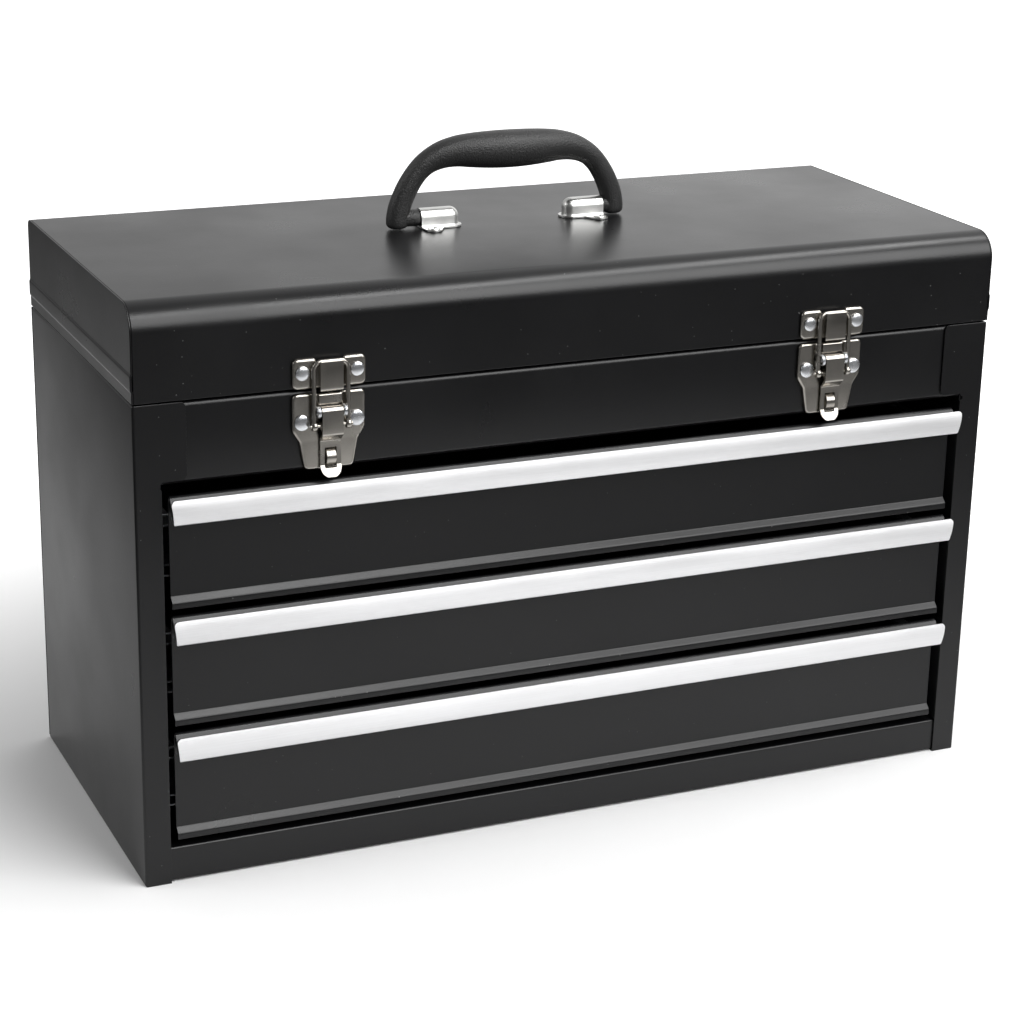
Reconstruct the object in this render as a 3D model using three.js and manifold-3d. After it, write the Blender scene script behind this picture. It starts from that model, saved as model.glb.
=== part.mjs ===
// Portable metal tool box: a sheet-steel case with three drawers on ball slides, a hinged lid
// over a top compartment, two draw latches and a folding carry handle.
// Millimetres, +Z up, +X to the right of someone facing the drawers, who looks along +Y.
import * as THREE from "three";
import { mergeVertices } from "three/addons/utils/BufferGeometryUtils.js";
import Module from "manifold-3d";

const wasm = await Module();
wasm.setup();

// ---- Driving dimensions ----
const WIDTH = 510; // case, side to side
const DEPTH = 214; // case, front to back
const BODY_TOP = 270; // rim of the lower case
const LID_TOP = 321.7;
const SHEET = 1; // steel thickness
const GAP = 0.3; // between pieces that touch
const HALF = WIDTH / 2;
const FRONT = -DEPTH / 2;
const BACK = DEPTH / 2;

const POST = 14.6; // width of the front posts
const TAB_WIDTH = 28.3; // the posts' wide heads
const TAB_FOOT = 228;
const TAB_CORNER = 3;
const FLOOR_TOP = 20.5;
const FASCIA_FOOT = 225.5;
const FASCIA_FOLD = 8; // how far its top and bottom edges turn back
const TRAY_Z = FASCIA_FOOT + SHEET + GAP + SHEET / 2; // middle of the compartment's floor
const TRAY_TURN_UP = 12;
const INNER_FACE = FRONT + SHEET + GAP; // front face of the panels that lie behind the posts
const REAR_FACE = BACK - SHEET - GAP; // rear face of what lies in front of the back panel

const LINER_FACE = 240.6; // the slide panels' inner faces, from the centre
const SLIDE_SPACE = 12.2; // between a slide panel and the drawer's side
const SLIDE_FRONT = -90; // well behind the drawers' fronts
const SLIDE_LENGTH = 186;
const DRAWER_TRAVEL = 145;

const DRAWER_NAMES = ["bottom", "middle", "top"];
const FIRST_DRAWER_TOP = 86;
const DRAWER_PITCH = 66.25;
const DRAWER_HEIGHT = 61;
const DRAWER_BOX = 50; // the rim of the drawer's walls, above its lower edge
const DRAWER_FLOOR = 9; // its floor, above its lower edge
const DRAWER_REAR = 98;
const SLIDE_RISE = 30; // the slides' middle, above the drawer's lower edge
const FRONT_HALF = 236.3; // half the width of a drawer's front
const FRONT_FACE = -103.5;
const BEAD_FORWARD = 3; // the bead along a drawer's foot, in front of its face
const BEAD_HEIGHT = 3.2;
const LIP_RISE = 1.5; // the lip's bend, above the drawer's nominal top
const LIP_FORWARD = 9.2; // the lip's lower edge, in front of the face and below the top
const LIP_DROP = 10.8;
const LIP_BEND = 3;
const PULL_HALF = 237.8;
const PULL_STEEL = 1.1;
const PULL_RISE = 1.1; // the pull's upper edge, above the drawer's nominal top

const LID_ROLL = 15; // radius of the lid's front edge
const LID_REAR_ROLL = 4.5;
const LID_RIM = 14; // how deep the pressed ends reach under the cover
const LID_BAND = { foot: 6.5, top: 15.5, proud: 0.6, inset: 1 }; // raised along an end's foot
const LID_FOOT = BODY_TOP + 0.8;
const HINGE_Y = BACK + 2.8;
const HINGE_Z = BODY_TOP + 0.3;
const HINGE_HALF = 220;
const BARREL = 2.5;
const KNUCKLES = 9;
const HINGE_ROD = 1.1; // radius of the rod
const HINGE_BORE = 1.5;
const HINGE_NECK = 6; // from the axis to where a knuckle joins its leaf
const LEAF_DROP = 24; // the lower leaf's edge, below the axis
const LEAF_RISE = 20;

const LATCH_X = 150;
const RIVET_X = 15;
const RIVET_Z = { base: 252.7, keeper: 279.5 };
const LEVER_PIN = { y: FRONT - 4.6, z: 258.5 };
const BAIL_PIN = { y: FRONT - 4.7, z: 251 };
const BAIL_TOP = { y: FRONT - 3.9, z: 285.3 };
const BAIL_HALF = 9.4; // from the middle to the middle of a leg
const WIRE = 1.3; // radius of the bail's wire
const EYE_RADIUS = 2.6;
const EYE_BORE = 1.25;
const CROSS_PIN = { radius: 0.9, half: 12 }; // the lever's pin through the bail's eyes
const LEVER_ROD = 1.1; // radius of the pin that the lever turns on
const PIN_BORE = 1.4;
const LEVER_WIDTH = 11.6;
const LEVER_KINK = 245.6;
const LEVER_BACK = FRONT - 3; // the lower blade, behind the upper one
const LEVER_DISC = { z: 228.2, radius: 5.8 }; // the finger tab's round end
const LEVER_SLOT = { half: 3.3, foot: 227.4, top: 238.7 };
const LEVER_FLARE = 2.6; // how far its tip turns out for the finger
const STAPLE = { z: 233, radius: 4.3, half: 2.7 };
const LEVER_STEEL = 1.2;
const BASE_HALF = 20.3;
const BASE_TOP = 268.1; // the latch's base plate: straight sides, a waist and a narrower foot
const BASE_SHOULDER = 248.4;
const BASE_WAIST = 241.6;
const BASE_FOOT = 226.1;
const BASE_DEPTH = 2.4;
const WAIST_HALF = 16.5;
const FOOT_HALF = 14.2;
const PLATE_CORNER = 3;
const BRIDGE = { half: 6.3, forward: 2.2, rise: 3.8 }; // above the lever, its foot above the pin
const KEEPER_FOOT = 270.6;
const KEEPER_TOP = 286.9;
const DISH_WALL = 1.1;
const HUMP_HALF = 6.4;
const HUMP_FRONT = FRONT - 6.3;
const KEEPER_NOTCH = 4; // depth of the gap between the keeper's ears
const BASE_RIVET = { radius: 4.4, height: 1.6 };
const KEEPER_RIVET = { radius: 3.9, height: 1.5 };

const BRACKET_X = 4.5; // middle of the two handle brackets
const BRACKET_OUT = 56.9; // a bracket's outer and inner ends, from that middle
const BRACKET_IN = 33;
const HANDLE_X = 2; // the handle slides a little along its brackets
const HANDLE_Y = 14; // a little behind the middle of the lid
const HANDLE_Z = LID_TOP + 6;
const HANDLE_HALF = 73.8;
const HANDLE_TOP = 374.8;
const ARM_WIDTH = 12.6;
const ARM_DEPTH = 11;
const GRIP_RADIUS = 10.75;
const GRIP_HALF = 42;
const BOW = { x: 38, z: 339, radius: 23.7 }; // the bend from an arm into the grip
const TRUNNION = 4; // its radius
const EYELET = { x: 51.75, y: 11, lobe: 4.8 };
const BRIM = 2; // the bracket's brim, round its sleeve
const TRUNNION_END = 41;

// ---- Materials ----
const finish = (name, color, roughness, metalness) =>
  new THREE.MeshStandardMaterial({ name, color, roughness, metalness });
const blackPaint = finish("black_paint", 0x1b1b1d, 0.38, 0.0);
const brushedAluminium = finish("brushed_aluminium", 0xd9dadb, 0.32, 1.0);
const nickel = finish("nickel_plate", 0xa8a49b, 0.3, 1.0);
const zinc = finish("zinc_plate", 0x9a9c9f, 0.4, 1.0);
const blackPlastic = finish("black_plastic", 0x141414, 0.6, 0.0);
const cagePlastic = finish("cage_plastic", 0x2c3a4a, 0.55, 0.0);

// ---- Solids ----
// A three.js geometry as a manifold solid.
function solid(geometry) {
  const bare = geometry.index ? geometry.toNonIndexed() : geometry.clone();
  bare.deleteAttribute("normal");
  bare.deleteAttribute("uv");
  const merged = mergeVertices(bare, 1e-4);
  return new wasm.Manifold(
    new wasm.Mesh({
      numProp: 3,
      vertProperties: merged.attributes.position.array,
      triVerts: new Uint32Array(merged.index.array),
    }),
  );
}

// A manifold solid as a three.js geometry.
function geometryOf(body) {
  const mesh = body.getMesh();
  return new THREE.BufferGeometry()
    .setAttribute("position", new THREE.BufferAttribute(mesh.vertProperties, 3))
    .setIndex(new THREE.BufferAttribute(mesh.triVerts, 1))
    .toNonIndexed();
}

const join = (...bodies) => bodies.reduce((all, body) => all.add(body));
const cut = (body, ...tools) => tools.reduce((left, tool) => left.subtract(tool), body);

function box(x0, x1, y0, y1, z0, z1) {
  const block = new THREE.BoxGeometry(x1 - x0, y1 - y0, z1 - z0);
  return solid(block.translate((x0 + x1) / 2, (y0 + y1) / 2, (z0 + z1) / 2));
}

const CURVE_STEPS = 6;
const extrude = (shape, depth) =>
  new THREE.ExtrudeGeometry(shape, { depth, bevelEnabled: false, curveSegments: CURVE_STEPS });

// Extrusions of a section drawn as (y, z), (x, z) or (x, y).
function alongX(shape, x0, x1) {
  const turn = new THREE.Matrix4().set(0, 0, 1, x0, 1, 0, 0, 0, 0, 1, 0, 0, 0, 0, 0, 1);
  return solid(extrude(shape, x1 - x0).applyMatrix4(turn));
}
function alongY(shape, y0, y1) {
  const turn = new THREE.Matrix4().set(1, 0, 0, 0, 0, 0, -1, y1, 0, 1, 0, 0, 0, 0, 0, 1);
  return solid(extrude(shape, y1 - y0).applyMatrix4(turn));
}

// The outline of a bent strip: a middle line of [u, v] points, thickened on both sides.
function strip(points, thickness = SHEET) {
  const line = points.map(([u, v]) => new THREE.Vector2(u, v));
  const side = (sign) =>
    line.map((point, i) => {
      const before = i > 0 ? point.clone().sub(line[i - 1]).normalize() : null;
      const after = i < line.length - 1 ? line[i + 1].clone().sub(point).normalize() : null;
      const along = (before || after).clone().add(after || before).normalize();
      const reach = thickness / 2 / along.dot(after || before);
      return new THREE.Vector2(-along.y, along.x).multiplyScalar(sign * reach).add(point);
    });
  return new THREE.Shape([...side(1), ...side(-1).reverse()]);
}

// Points on an arc about (u, v), angles in degrees.
function arc(u, v, radius, from, to, steps = 6) {
  return Array.from({ length: steps + 1 }, (_, i) => {
    const angle = THREE.MathUtils.degToRad(from + ((to - from) * i) / steps);
    return [u + radius * Math.cos(angle), v + radius * Math.sin(angle)];
  });
}

const outline = (points) => new THREE.Shape(points.map(([u, v]) => new THREE.Vector2(u, v)));

// A rectangle with one radius for all its corners.
function roundedRectangle(u0, u1, v0, v1, radius, steps = 3) {
  return outline([
    ...arc(u1 - radius, v0 + radius, radius, -90, 0, steps),
    ...arc(u1 - radius, v1 - radius, radius, 0, 90, steps),
    ...arc(u0 + radius, v1 - radius, radius, 90, 180, steps),
    ...arc(u0 + radius, v0 + radius, radius, 180, 270, steps),
  ]);
}

// Round bars along X and along Y.
function barX(x0, x1, y, z, radius, sides = 16) {
  const bar = new THREE.CylinderGeometry(radius, radius, x1 - x0, sides).rotateZ(Math.PI / 2);
  return solid(bar.translate((x0 + x1) / 2, y, z));
}
function barY(x, y0, y1, z, radius, sides = 20) {
  const bar = new THREE.CylinderGeometry(radius, radius, y1 - y0, sides);
  return solid(bar.translate(x, (y0 + y1) / 2, z));
}

// A domed head that faces the front, from y inwards, made by turning half its section.
function domedHead(x, y, z, { radius, height }) {
  const rim = height * 0.3;
  const dome = Array.from({ length: 5 }, (_, i) => {
    const angle = (i / 4) * (Math.PI / 2);
    return new THREE.Vector2(
      radius * Math.cos(angle),
      rim + (height - rim) * Math.sin(angle),
    );
  });
  dome[4].x = 0;
  const section = [new THREE.Vector2(0, 0), new THREE.Vector2(radius, 0), ...dome];
  const head = new THREE.LatheGeometry(section, 20).rotateX(Math.PI).translate(x, y, z);
  return solid(head);
}

// ---- The case ----
const chest = new THREE.Group();
chest.name = "tool_box";

function place(name, body, material) {
  const mesh = new THREE.Mesh(geometryOf(body), material);
  mesh.name = name;
  chest.add(mesh);
}

// Both hands of a piece modelled on the left, at -x.
const mirrored = (body) => body.mirror([1, 0, 0]);
function placePair(name, left, material) {
  place(name + "_left", left, material);
  place(name + "_right", mirrored(left), material);
}

// A channel open towards the centre: its front flange is the post, with a wide head.
function sidePanel() {
  const shell = cut(
    box(-HALF, -HALF + POST, FRONT, REAR_FACE, 0, BODY_TOP),
    box(-HALF + SHEET, 0, FRONT + SHEET, REAR_FACE - SHEET, SHEET, BODY_TOP - SHEET),
  );
  const head = alongY(
    roundedRectangle(-HALF + SHEET, -HALF + TAB_WIDTH, TAB_FOOT, BODY_TOP, TAB_CORNER),
    FRONT,
    FRONT + SHEET,
  );
  const notchRadius = 1.6;
  const notchZ = TAB_FOOT - notchRadius - SHEET;
  const notch = barY(-HALF + POST, FRONT - SHEET, FRONT + 2 * SHEET, notchZ, notchRadius, 12);
  const openTop = box(-HALF + 2 * SHEET, 0, FRONT + SHEET, FRONT + 10 * SHEET,
    BODY_TOP - 2 * SHEET, BODY_TOP + SHEET);
  return cut(join(shell, head), notch, openTop);
}
placePair("side_panel", sidePanel(), blackPaint);

function backPanel() {
  return box(-HALF, HALF, BACK - SHEET, BACK, SHEET + GAP, BODY_TOP);
}
place("back_panel", backPanel(), blackPaint);

// An upside-down pan: the drawers' rail is its front flange.
function floorPanel() {
  const wide = HALF - SHEET - GAP;
  return cut(
    box(-wide, wide, INNER_FACE, REAR_FACE - SHEET - GAP, SHEET + GAP, FLOOR_TOP),
    box(-wide + SHEET, wide - SHEET, INNER_FACE + SHEET, REAR_FACE - 2 * SHEET - GAP, 0,
      FLOOR_TOP - SHEET),
  );
}
place("floor_panel", floorPanel(), blackPaint);

// The plain panel above the drawers, its top and bottom edges folded back.
function frontFascia() {
  const middle = INNER_FACE + SHEET / 2;
  const fold = strip([
    [middle + FASCIA_FOLD, BODY_TOP - SHEET / 2],
    [middle, BODY_TOP - SHEET / 2],
    [middle, FASCIA_FOOT + SHEET / 2],
    [middle + FASCIA_FOLD, FASCIA_FOOT + SHEET / 2],
  ]);
  const wingHalf = HALF - 2 * SHEET;
  const foldHalf = LINER_FACE - SHEET / 2 + 0.1;
  const wings = box(-wingHalf, wingHalf, INNER_FACE, INNER_FACE + SHEET, TAB_FOOT - SHEET / 2,
    BODY_TOP - 3 * SHEET);
  return join(alongX(fold, -foldHalf, foldHalf), wings);
}
place("front_fascia", frontFascia(), blackPaint);

// The floor of the top compartment, turned up at its ends.
function compartmentTray() {
  const end = HALF - SHEET - GAP - SHEET / 2;
  const section = strip([
    [-end, TRAY_Z + TRAY_TURN_UP],
    [-end, TRAY_Z],
    [end, TRAY_Z],
    [end, TRAY_Z + TRAY_TURN_UP],
  ]);
  return alongY(section, INNER_FACE + SHEET + GAP, REAR_FACE - SHEET - GAP);
}
place("compartment_tray", compartmentTray(), blackPaint);

// The liner that carries one side's slides, with its flanges turned out to the side panel.
function slidePanel() {
  const face = LINER_FACE + SHEET / 2;
  const out = HALF - SHEET - GAP;
  const front = INNER_FACE + SHEET / 2;
  const back = REAR_FACE - SHEET - GAP - SHEET / 2;
  const section = strip([
    [-out, front],
    [-face, front],
    [-face, back],
    [-out, back],
  ]);
  const foot = FLOOR_TOP + GAP;
  return solid(extrude(section, TRAY_Z - SHEET / 2 - GAP - foot).translate(0, 0, foot));
}
placePair("slide_panel", slidePanel(), blackPaint);

// ---- Hinge ----
// One leaf: a plate against the panel, and every second knuckle. The sign is 1 above the axis.
const knuckleLength = (2 * HINGE_HALF) / KNUCKLES;
const hingeRod = (radius) =>
  barX(-HINGE_HALF - SHEET, HINGE_HALF + SHEET, HINGE_Y, HINGE_Z, radius, 12);
function hingeLeaf(sign, first) {
  const plateInner = BACK + GAP;
  const parts = [];
  for (let i = first; i < KNUCKLES; i += 2) {
    const x0 = -HINGE_HALF + i * knuckleLength + GAP;
    const x1 = x0 + knuckleLength - 2 * GAP;
    const neck = sign > 0 ? [HINGE_Z, HINGE_Z + HINGE_NECK] : [HINGE_Z - HINGE_NECK, HINGE_Z];
    parts.push(
      barX(x0, x1, HINGE_Y, HINGE_Z, BARREL),
      box(x0, x1, plateInner, plateInner + SHEET, ...neck),
    );
  }
  const plate = sign > 0
    ? [HINGE_Z + BARREL + GAP, HINGE_Z + LEAF_RISE]
    : [HINGE_Z - LEAF_DROP, HINGE_Z - BARREL - GAP];
  const flat = box(-HINGE_HALF, HINGE_HALF, plateInner, plateInner + SHEET, ...plate);
  return cut(join(flat, ...parts), hingeRod(HINGE_BORE));
}
place("hinge_leaf_body", hingeLeaf(-1, 0), zinc);
place("hinge_pin", hingeRod(HINGE_ROD), zinc);

// ---- Lid ----
// The lid's end outline as (y, z), inset by the given distance.
function lidOutline(inset, foot) {
  const front = FRONT + inset;
  const back = BACK - inset;
  const top = LID_TOP - inset;
  const roll = LID_ROLL - inset;
  const rear = LID_REAR_ROLL - inset;
  return [
    [front, foot],
    ...arc(front + roll, top - roll, roll, 180, 90, 7),
    ...arc(back - rear, top - rear, rear, 90, 0, 4),
    [back, foot],
  ];
}

function lidCover() {
  const wrap = strip(lidOutline(SHEET / 2, LID_FOOT));
  return alongX(wrap, -HALF + SHEET, HALF - SHEET);
}
place("lid_cover", lidCover(), blackPaint);

// A pressed cup whose rim lies under the cover's edge, with a raised band along its foot.
const lidEndOutline = (inset, foot) => outline(lidOutline(inset, foot).reverse());
function lidEnd() {
  const inset = SHEET + GAP;
  const edge = alongX(lidEndOutline(0, LID_FOOT), -HALF, -HALF + SHEET - GAP);
  const rim = alongX(lidEndOutline(inset, LID_FOOT), -HALF, -HALF + LID_RIM);
  const hollow = alongX(lidEndOutline(inset + SHEET, LID_FOOT - SHEET), -HALF + SHEET,
    -HALF + LID_RIM + SHEET);
  const band = box(-HALF - LID_BAND.proud, -HALF + SHEET / 2, FRONT + LID_BAND.inset,
    BACK - LID_BAND.inset, LID_FOOT + LID_BAND.foot, LID_FOOT + LID_BAND.top);
  return join(edge, band, cut(rim, hollow));
}
placePair("lid_end", lidEnd(), blackPaint);
place("hinge_leaf_lid", hingeLeaf(1, 1), zinc);

// ---- Handle and its brackets ----
// A strap arched over the handle's trunnion, closed by a dome at its inner end, on a brim with
// two eyelets. The left bracket, from the middle of the pair.
function handleBracket() {
  const foot = LID_TOP + GAP;
  const inside = TRUNNION + GAP;
  const outside = inside + SHEET;
  const dome = -BRACKET_IN - outside;
  const barrel = (radius, x0) =>
    join(
      barX(x0, dome, HANDLE_Y, HANDLE_Z, radius),
      box(x0, dome, HANDLE_Y - radius, HANDLE_Y + radius, foot - 1, HANDLE_Z),
      solid(new THREE.SphereGeometry(radius, 16, 12).translate(dome, HANDLE_Y, HANDLE_Z)),
      solid(
        new THREE.CylinderGeometry(radius, radius, HANDLE_Z - foot + 1, 16)
          .rotateX(Math.PI / 2)
          .translate(dome, HANDLE_Y, (HANDLE_Z + foot - 1) / 2),
      ),
    );
  const brimHalf = outside + BRIM;
  const neck = -EYELET.x + EYELET.lobe + 3;
  const brim = outline([
    [-BRACKET_OUT, -brimHalf],
    ...arc(-EYELET.x, -EYELET.y, EYELET.lobe, 200, 340, 6),
    [neck, -brimHalf],
    ...arc(dome, 0, brimHalf, -90, 90, 8),
    [neck, brimHalf],
    ...arc(-EYELET.x, EYELET.y, EYELET.lobe, 20, 160, 6),
    [-BRACKET_OUT, brimHalf],
  ]);
  const plate = solid(extrude(brim, SHEET).translate(0, HANDLE_Y, foot));
  const eyelets = [-1, 1].map((side) => {
    const collar = new THREE.CylinderGeometry(3.2, 3.8, 1, 20).rotateX(Math.PI / 2);
    return solid(collar.translate(-EYELET.x, HANDLE_Y + side * EYELET.y, foot + SHEET + 0.3));
  });
  const floor = box(-100, 0, -50, 50, 0, foot);
  return cut(
    join(barrel(outside, -BRACKET_OUT), plate, ...eyelets),
    barrel(inside, -BRACKET_OUT - 1),
    floor,
  );
}
const bracket = handleBracket();
place("handle_bracket_left", bracket.translate([BRACKET_X, 0, 0]), nickel);
place("handle_bracket_right", mirrored(bracket).translate([BRACKET_X, 0, 0]), nickel);

// A moulded bow: two splayed oval arms that curve into a round grip, fullest in the middle, and
// a trunnion on the inside of each foot.
function carryHandle() {
  const crown = HANDLE_TOP - GRIP_RADIUS;
  const half = [
    [HANDLE_HALF - ARM_WIDTH / 2, HANDLE_Z],
    [HANDLE_HALF - ARM_WIDTH / 2 - 0.9, HANDLE_Z + 6],
    ...arc(BOW.x, BOW.z, BOW.radius, 10, 90, 6),
    [BOW.x / 2, crown],
  ];
  const points = [...half, ...half.map(([x, z]) => [-x, z]).reverse()];
  const route = new THREE.CatmullRomCurve3(
    points.map(([x, z]) => new THREE.Vector3(x, HANDLE_Y, z)), false, "centripetal");
  const oval = new THREE.Shape().absellipse(0, 0, ARM_DEPTH / 2, ARM_WIDTH / 2, 0, 2 * Math.PI);
  const arms = solid(
    new THREE.ExtrudeGeometry(oval, { steps: 44, extrudePath: route, curveSegments: 4 }),
  );
  const profile = [new THREE.Vector2(0, -GRIP_HALF)];
  for (let i = 0; i <= 12; i++) {
    const share = i / 6 - 1;
    const swell = Math.sqrt(Math.cos((share * Math.PI) / 2));
    const radius = ARM_DEPTH / 2 + (GRIP_RADIUS - ARM_DEPTH / 2) * swell;
    profile.push(new THREE.Vector2(radius, share * GRIP_HALF));
  }
  profile.push(new THREE.Vector2(0, GRIP_HALF));
  const grip = solid(
    new THREE.LatheGeometry(profile, 20).rotateZ(-Math.PI / 2).translate(0, HANDLE_Y, crown),
  );
  const feet = [-1, 1].map((side) => {
    const outer = side * HANDLE_HALF;
    const ends = (a, b) => [a, b].sort((p, q) => p - q);
    return join(
      barX(...ends(outer, side * (HANDLE_HALF - ARM_WIDTH)), HANDLE_Y, HANDLE_Z, ARM_DEPTH / 2, 20),
      barX(...ends(side * (HANDLE_HALF - ARM_WIDTH + 1), side * TRUNNION_END), HANDLE_Y, HANDLE_Z,
        TRUNNION),
    );
  });
  return join(arms, grip, ...feet).translate([HANDLE_X, 0, 0]);
}
place("carry_handle", carryHandle(), blackPlastic);

// ---- Latches ----
// The dished plate riveted to the fascia, with the lever's ears, a bridge above the lever and
// the staple for a padlock.
const BASE_BACK = INNER_FACE - GAP;
const BASE_FRONT = BASE_BACK - BASE_DEPTH;
function latchBase() {
  const side = (inset) => [
    ...arc(FOOT_HALF - PLATE_CORNER - inset, BASE_FOOT + PLATE_CORNER + inset, PLATE_CORNER,
      -90, 0, 2),
    [WAIST_HALF - inset, BASE_WAIST],
    ...arc(BASE_HALF - 2 - inset, BASE_SHOULDER, 2, -60, 0, 2),
    ...arc(BASE_HALF - PLATE_CORNER - inset, BASE_TOP - PLATE_CORNER - inset, PLATE_CORNER,
      0, 90, 3),
  ];
  const plate = (inset) =>
    outline([...side(inset), ...side(inset).map(([u, v]) => [-u, v]).reverse()]);
  const dish = cut(
    alongY(plate(0), BASE_FRONT, BASE_BACK),
    alongY(plate(DISH_WALL), BASE_FRONT + DISH_WALL, BASE_BACK + 1),
  );
  const ear = alongX(
    outline([
      [BASE_FRONT + DISH_WALL / 2, LEVER_PIN.z - 5],
      [BASE_FRONT + DISH_WALL / 2, LEVER_PIN.z + 5],
      ...arc(LEVER_PIN.y, LEVER_PIN.z, 2 * WIRE, 120, 240, 6),
    ]),
    LEVER_WIDTH / 2 + GAP,
    LEVER_WIDTH / 2 + GAP + SHEET,
  );
  const bridge = box(-BRIDGE.half, BRIDGE.half, BASE_FRONT - BRIDGE.forward,
    BASE_FRONT + DISH_WALL / 2, LEVER_PIN.z + BRIDGE.rise, BASE_TOP);
  const loop = arc(BASE_FRONT + DISH_WALL / 2, STAPLE.z, STAPLE.radius, 90, 270, 8);
  const staple = alongX(strip(loop), -STAPLE.half, STAPLE.half);
  const bore = barX(-HALF, HALF, LEVER_PIN.y, LEVER_PIN.z, PIN_BORE, 12);
  return cut(join(dish, ear, mirrored(ear), bridge, staple), bore);
}

// The dished strike plate on the lid: two riveted ears and the hump that the bail hooks over.
const KEEPER_BACK = FRONT - GAP;
const KEEPER_FRONT = KEEPER_BACK - 2;
const HUMP_TOP = BAIL_TOP.z - WIRE - GAP;
const HUMP_FOOT = KEEPER_FOOT - 1;
function latchKeeper() {
  const plate = (inset) => {
    const foot = KEEPER_FOOT + inset;
    const top = KEEPER_TOP - inset;
    const half = BASE_HALF - inset;
    const notch = HUMP_HALF + 2 * GAP + inset;
    const notchFoot = top - KEEPER_NOTCH;
    return outline([
      [-half, foot + PLATE_CORNER],
      [-half + PLATE_CORNER, foot],
      [half - PLATE_CORNER, foot],
      [half, foot + PLATE_CORNER],
      [half, top - PLATE_CORNER],
      [half - PLATE_CORNER, top],
      [notch, top],
      [notch, notchFoot],
      [-notch, notchFoot],
      [-notch, top],
      [-half + PLATE_CORNER, top],
      [-half, top - PLATE_CORNER],
    ]);
  };
  const dish = cut(
    alongY(plate(0), KEEPER_FRONT, KEEPER_BACK),
    alongY(plate(DISH_WALL), KEEPER_FRONT + DISH_WALL, KEEPER_BACK + 1),
  );
  const hump = alongX(
    outline([
      [KEEPER_BACK - 2 * GAP, HUMP_FOOT],
      [KEEPER_BACK - 2 * GAP, KEEPER_TOP - KEEPER_NOTCH - SHEET / 2],
      [HUMP_FRONT + 3, HUMP_TOP],
      [HUMP_FRONT + 1, HUMP_TOP],
      [HUMP_FRONT, HUMP_TOP - 1],
      [HUMP_FRONT, HUMP_FOOT + 2],
      [HUMP_FRONT + 1.4, HUMP_FOOT],
    ]),
    -HUMP_HALF,
    HUMP_HALF,
  );
  return join(dish, hump);
}

// The lever: curled round its pin, kinked in below the bail's pin, slotted for the staple.
function latchLever() {
  const curl = HINGE_BORE + GAP + LEVER_STEEL / 2;
  const profile = strip(
    [
      ...arc(LEVER_PIN.y, LEVER_PIN.z, curl, -70, 180, 10),
      [LEVER_PIN.y - curl, LEVER_KINK + 1],
      [LEVER_BACK, LEVER_KINK - 3],
      [LEVER_BACK, LEVER_DISC.z + 1],
      [LEVER_BACK - LEVER_FLARE, LEVER_DISC.z - LEVER_DISC.radius],
    ],
    LEVER_STEEL,
  );
  const wide = alongX(profile, -LEVER_WIDTH / 2, LEVER_WIDTH / 2);
  const trim = outline([
    ...arc(0, LEVER_DISC.z, LEVER_DISC.radius, 180, 360, 12),
    [LEVER_DISC.radius, LID_TOP],
    [-LEVER_DISC.radius, LID_TOP],
  ]);
  const ahead = FRONT - 20; // in front of all of the latch
  const slot = box(-LEVER_SLOT.half, LEVER_SLOT.half, ahead, FRONT, LEVER_SLOT.foot,
    LEVER_SLOT.top);
  const cheek = alongX(
    outline([
      [LEVER_PIN.y - curl, BAIL_PIN.z - EYE_RADIUS],
      [LEVER_PIN.y - curl, BAIL_PIN.z + EYE_RADIUS],
      ...arc(BAIL_PIN.y, BAIL_PIN.z, EYE_RADIUS - 0.4, 90, -90, 6),
    ].reverse()),
    LEVER_WIDTH / 2 - LEVER_STEEL,
    LEVER_WIDTH / 2,
  );
  const crossPin = barX(-CROSS_PIN.half, CROSS_PIN.half, BAIL_PIN.y, BAIL_PIN.z, CROSS_PIN.radius,
    12);
  const blade = cut(wide.intersect(alongY(trim, ahead, 0)), slot);
  return join(blade, cheek, mirrored(cheek), crossPin);
}

// The wire bow that pulls the lid down, with an eye at each end on the lever's cross pin.
function latchBail() {
  const corner = 4;
  const up = new THREE.Vector3(0, BAIL_TOP.y - BAIL_PIN.y, BAIL_TOP.z - BAIL_PIN.z);
  const at = (x, share) =>
    new THREE.Vector3(x, BAIL_PIN.y, BAIL_PIN.z).add(up.clone().multiplyScalar(share));
  const share = 1 - corner / up.length();
  const route = new THREE.CurvePath();
  const foot = (EYE_BORE + WIRE / 2) / up.length();
  route.add(new THREE.LineCurve3(at(-BAIL_HALF, foot), at(-BAIL_HALF, share)));
  route.add(
    new THREE.QuadraticBezierCurve3(
      at(-BAIL_HALF, share), at(-BAIL_HALF, 1), at(-BAIL_HALF + corner, 1)),
  );
  route.add(new THREE.LineCurve3(at(-BAIL_HALF + corner, 1), at(BAIL_HALF - corner, 1)));
  route.add(
    new THREE.QuadraticBezierCurve3(
      at(BAIL_HALF - corner, 1), at(BAIL_HALF, 1), at(BAIL_HALF, share)),
  );
  route.add(new THREE.LineCurve3(at(BAIL_HALF, share), at(BAIL_HALF, foot)));
  const section = outline(arc(0, 0, WIRE, 0, 315, 7));
  const wire = solid(new THREE.ExtrudeGeometry(section, { steps: 30, extrudePath: route }));
  const eye = cut(
    barX(BAIL_HALF - WIRE, BAIL_HALF + WIRE, BAIL_PIN.y, BAIL_PIN.z, EYE_RADIUS, 16),
    barX(0, 2 * BAIL_HALF, BAIL_PIN.y, BAIL_PIN.z, EYE_BORE, 12),
  );
  return join(wire, eye, mirrored(eye));
}

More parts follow.
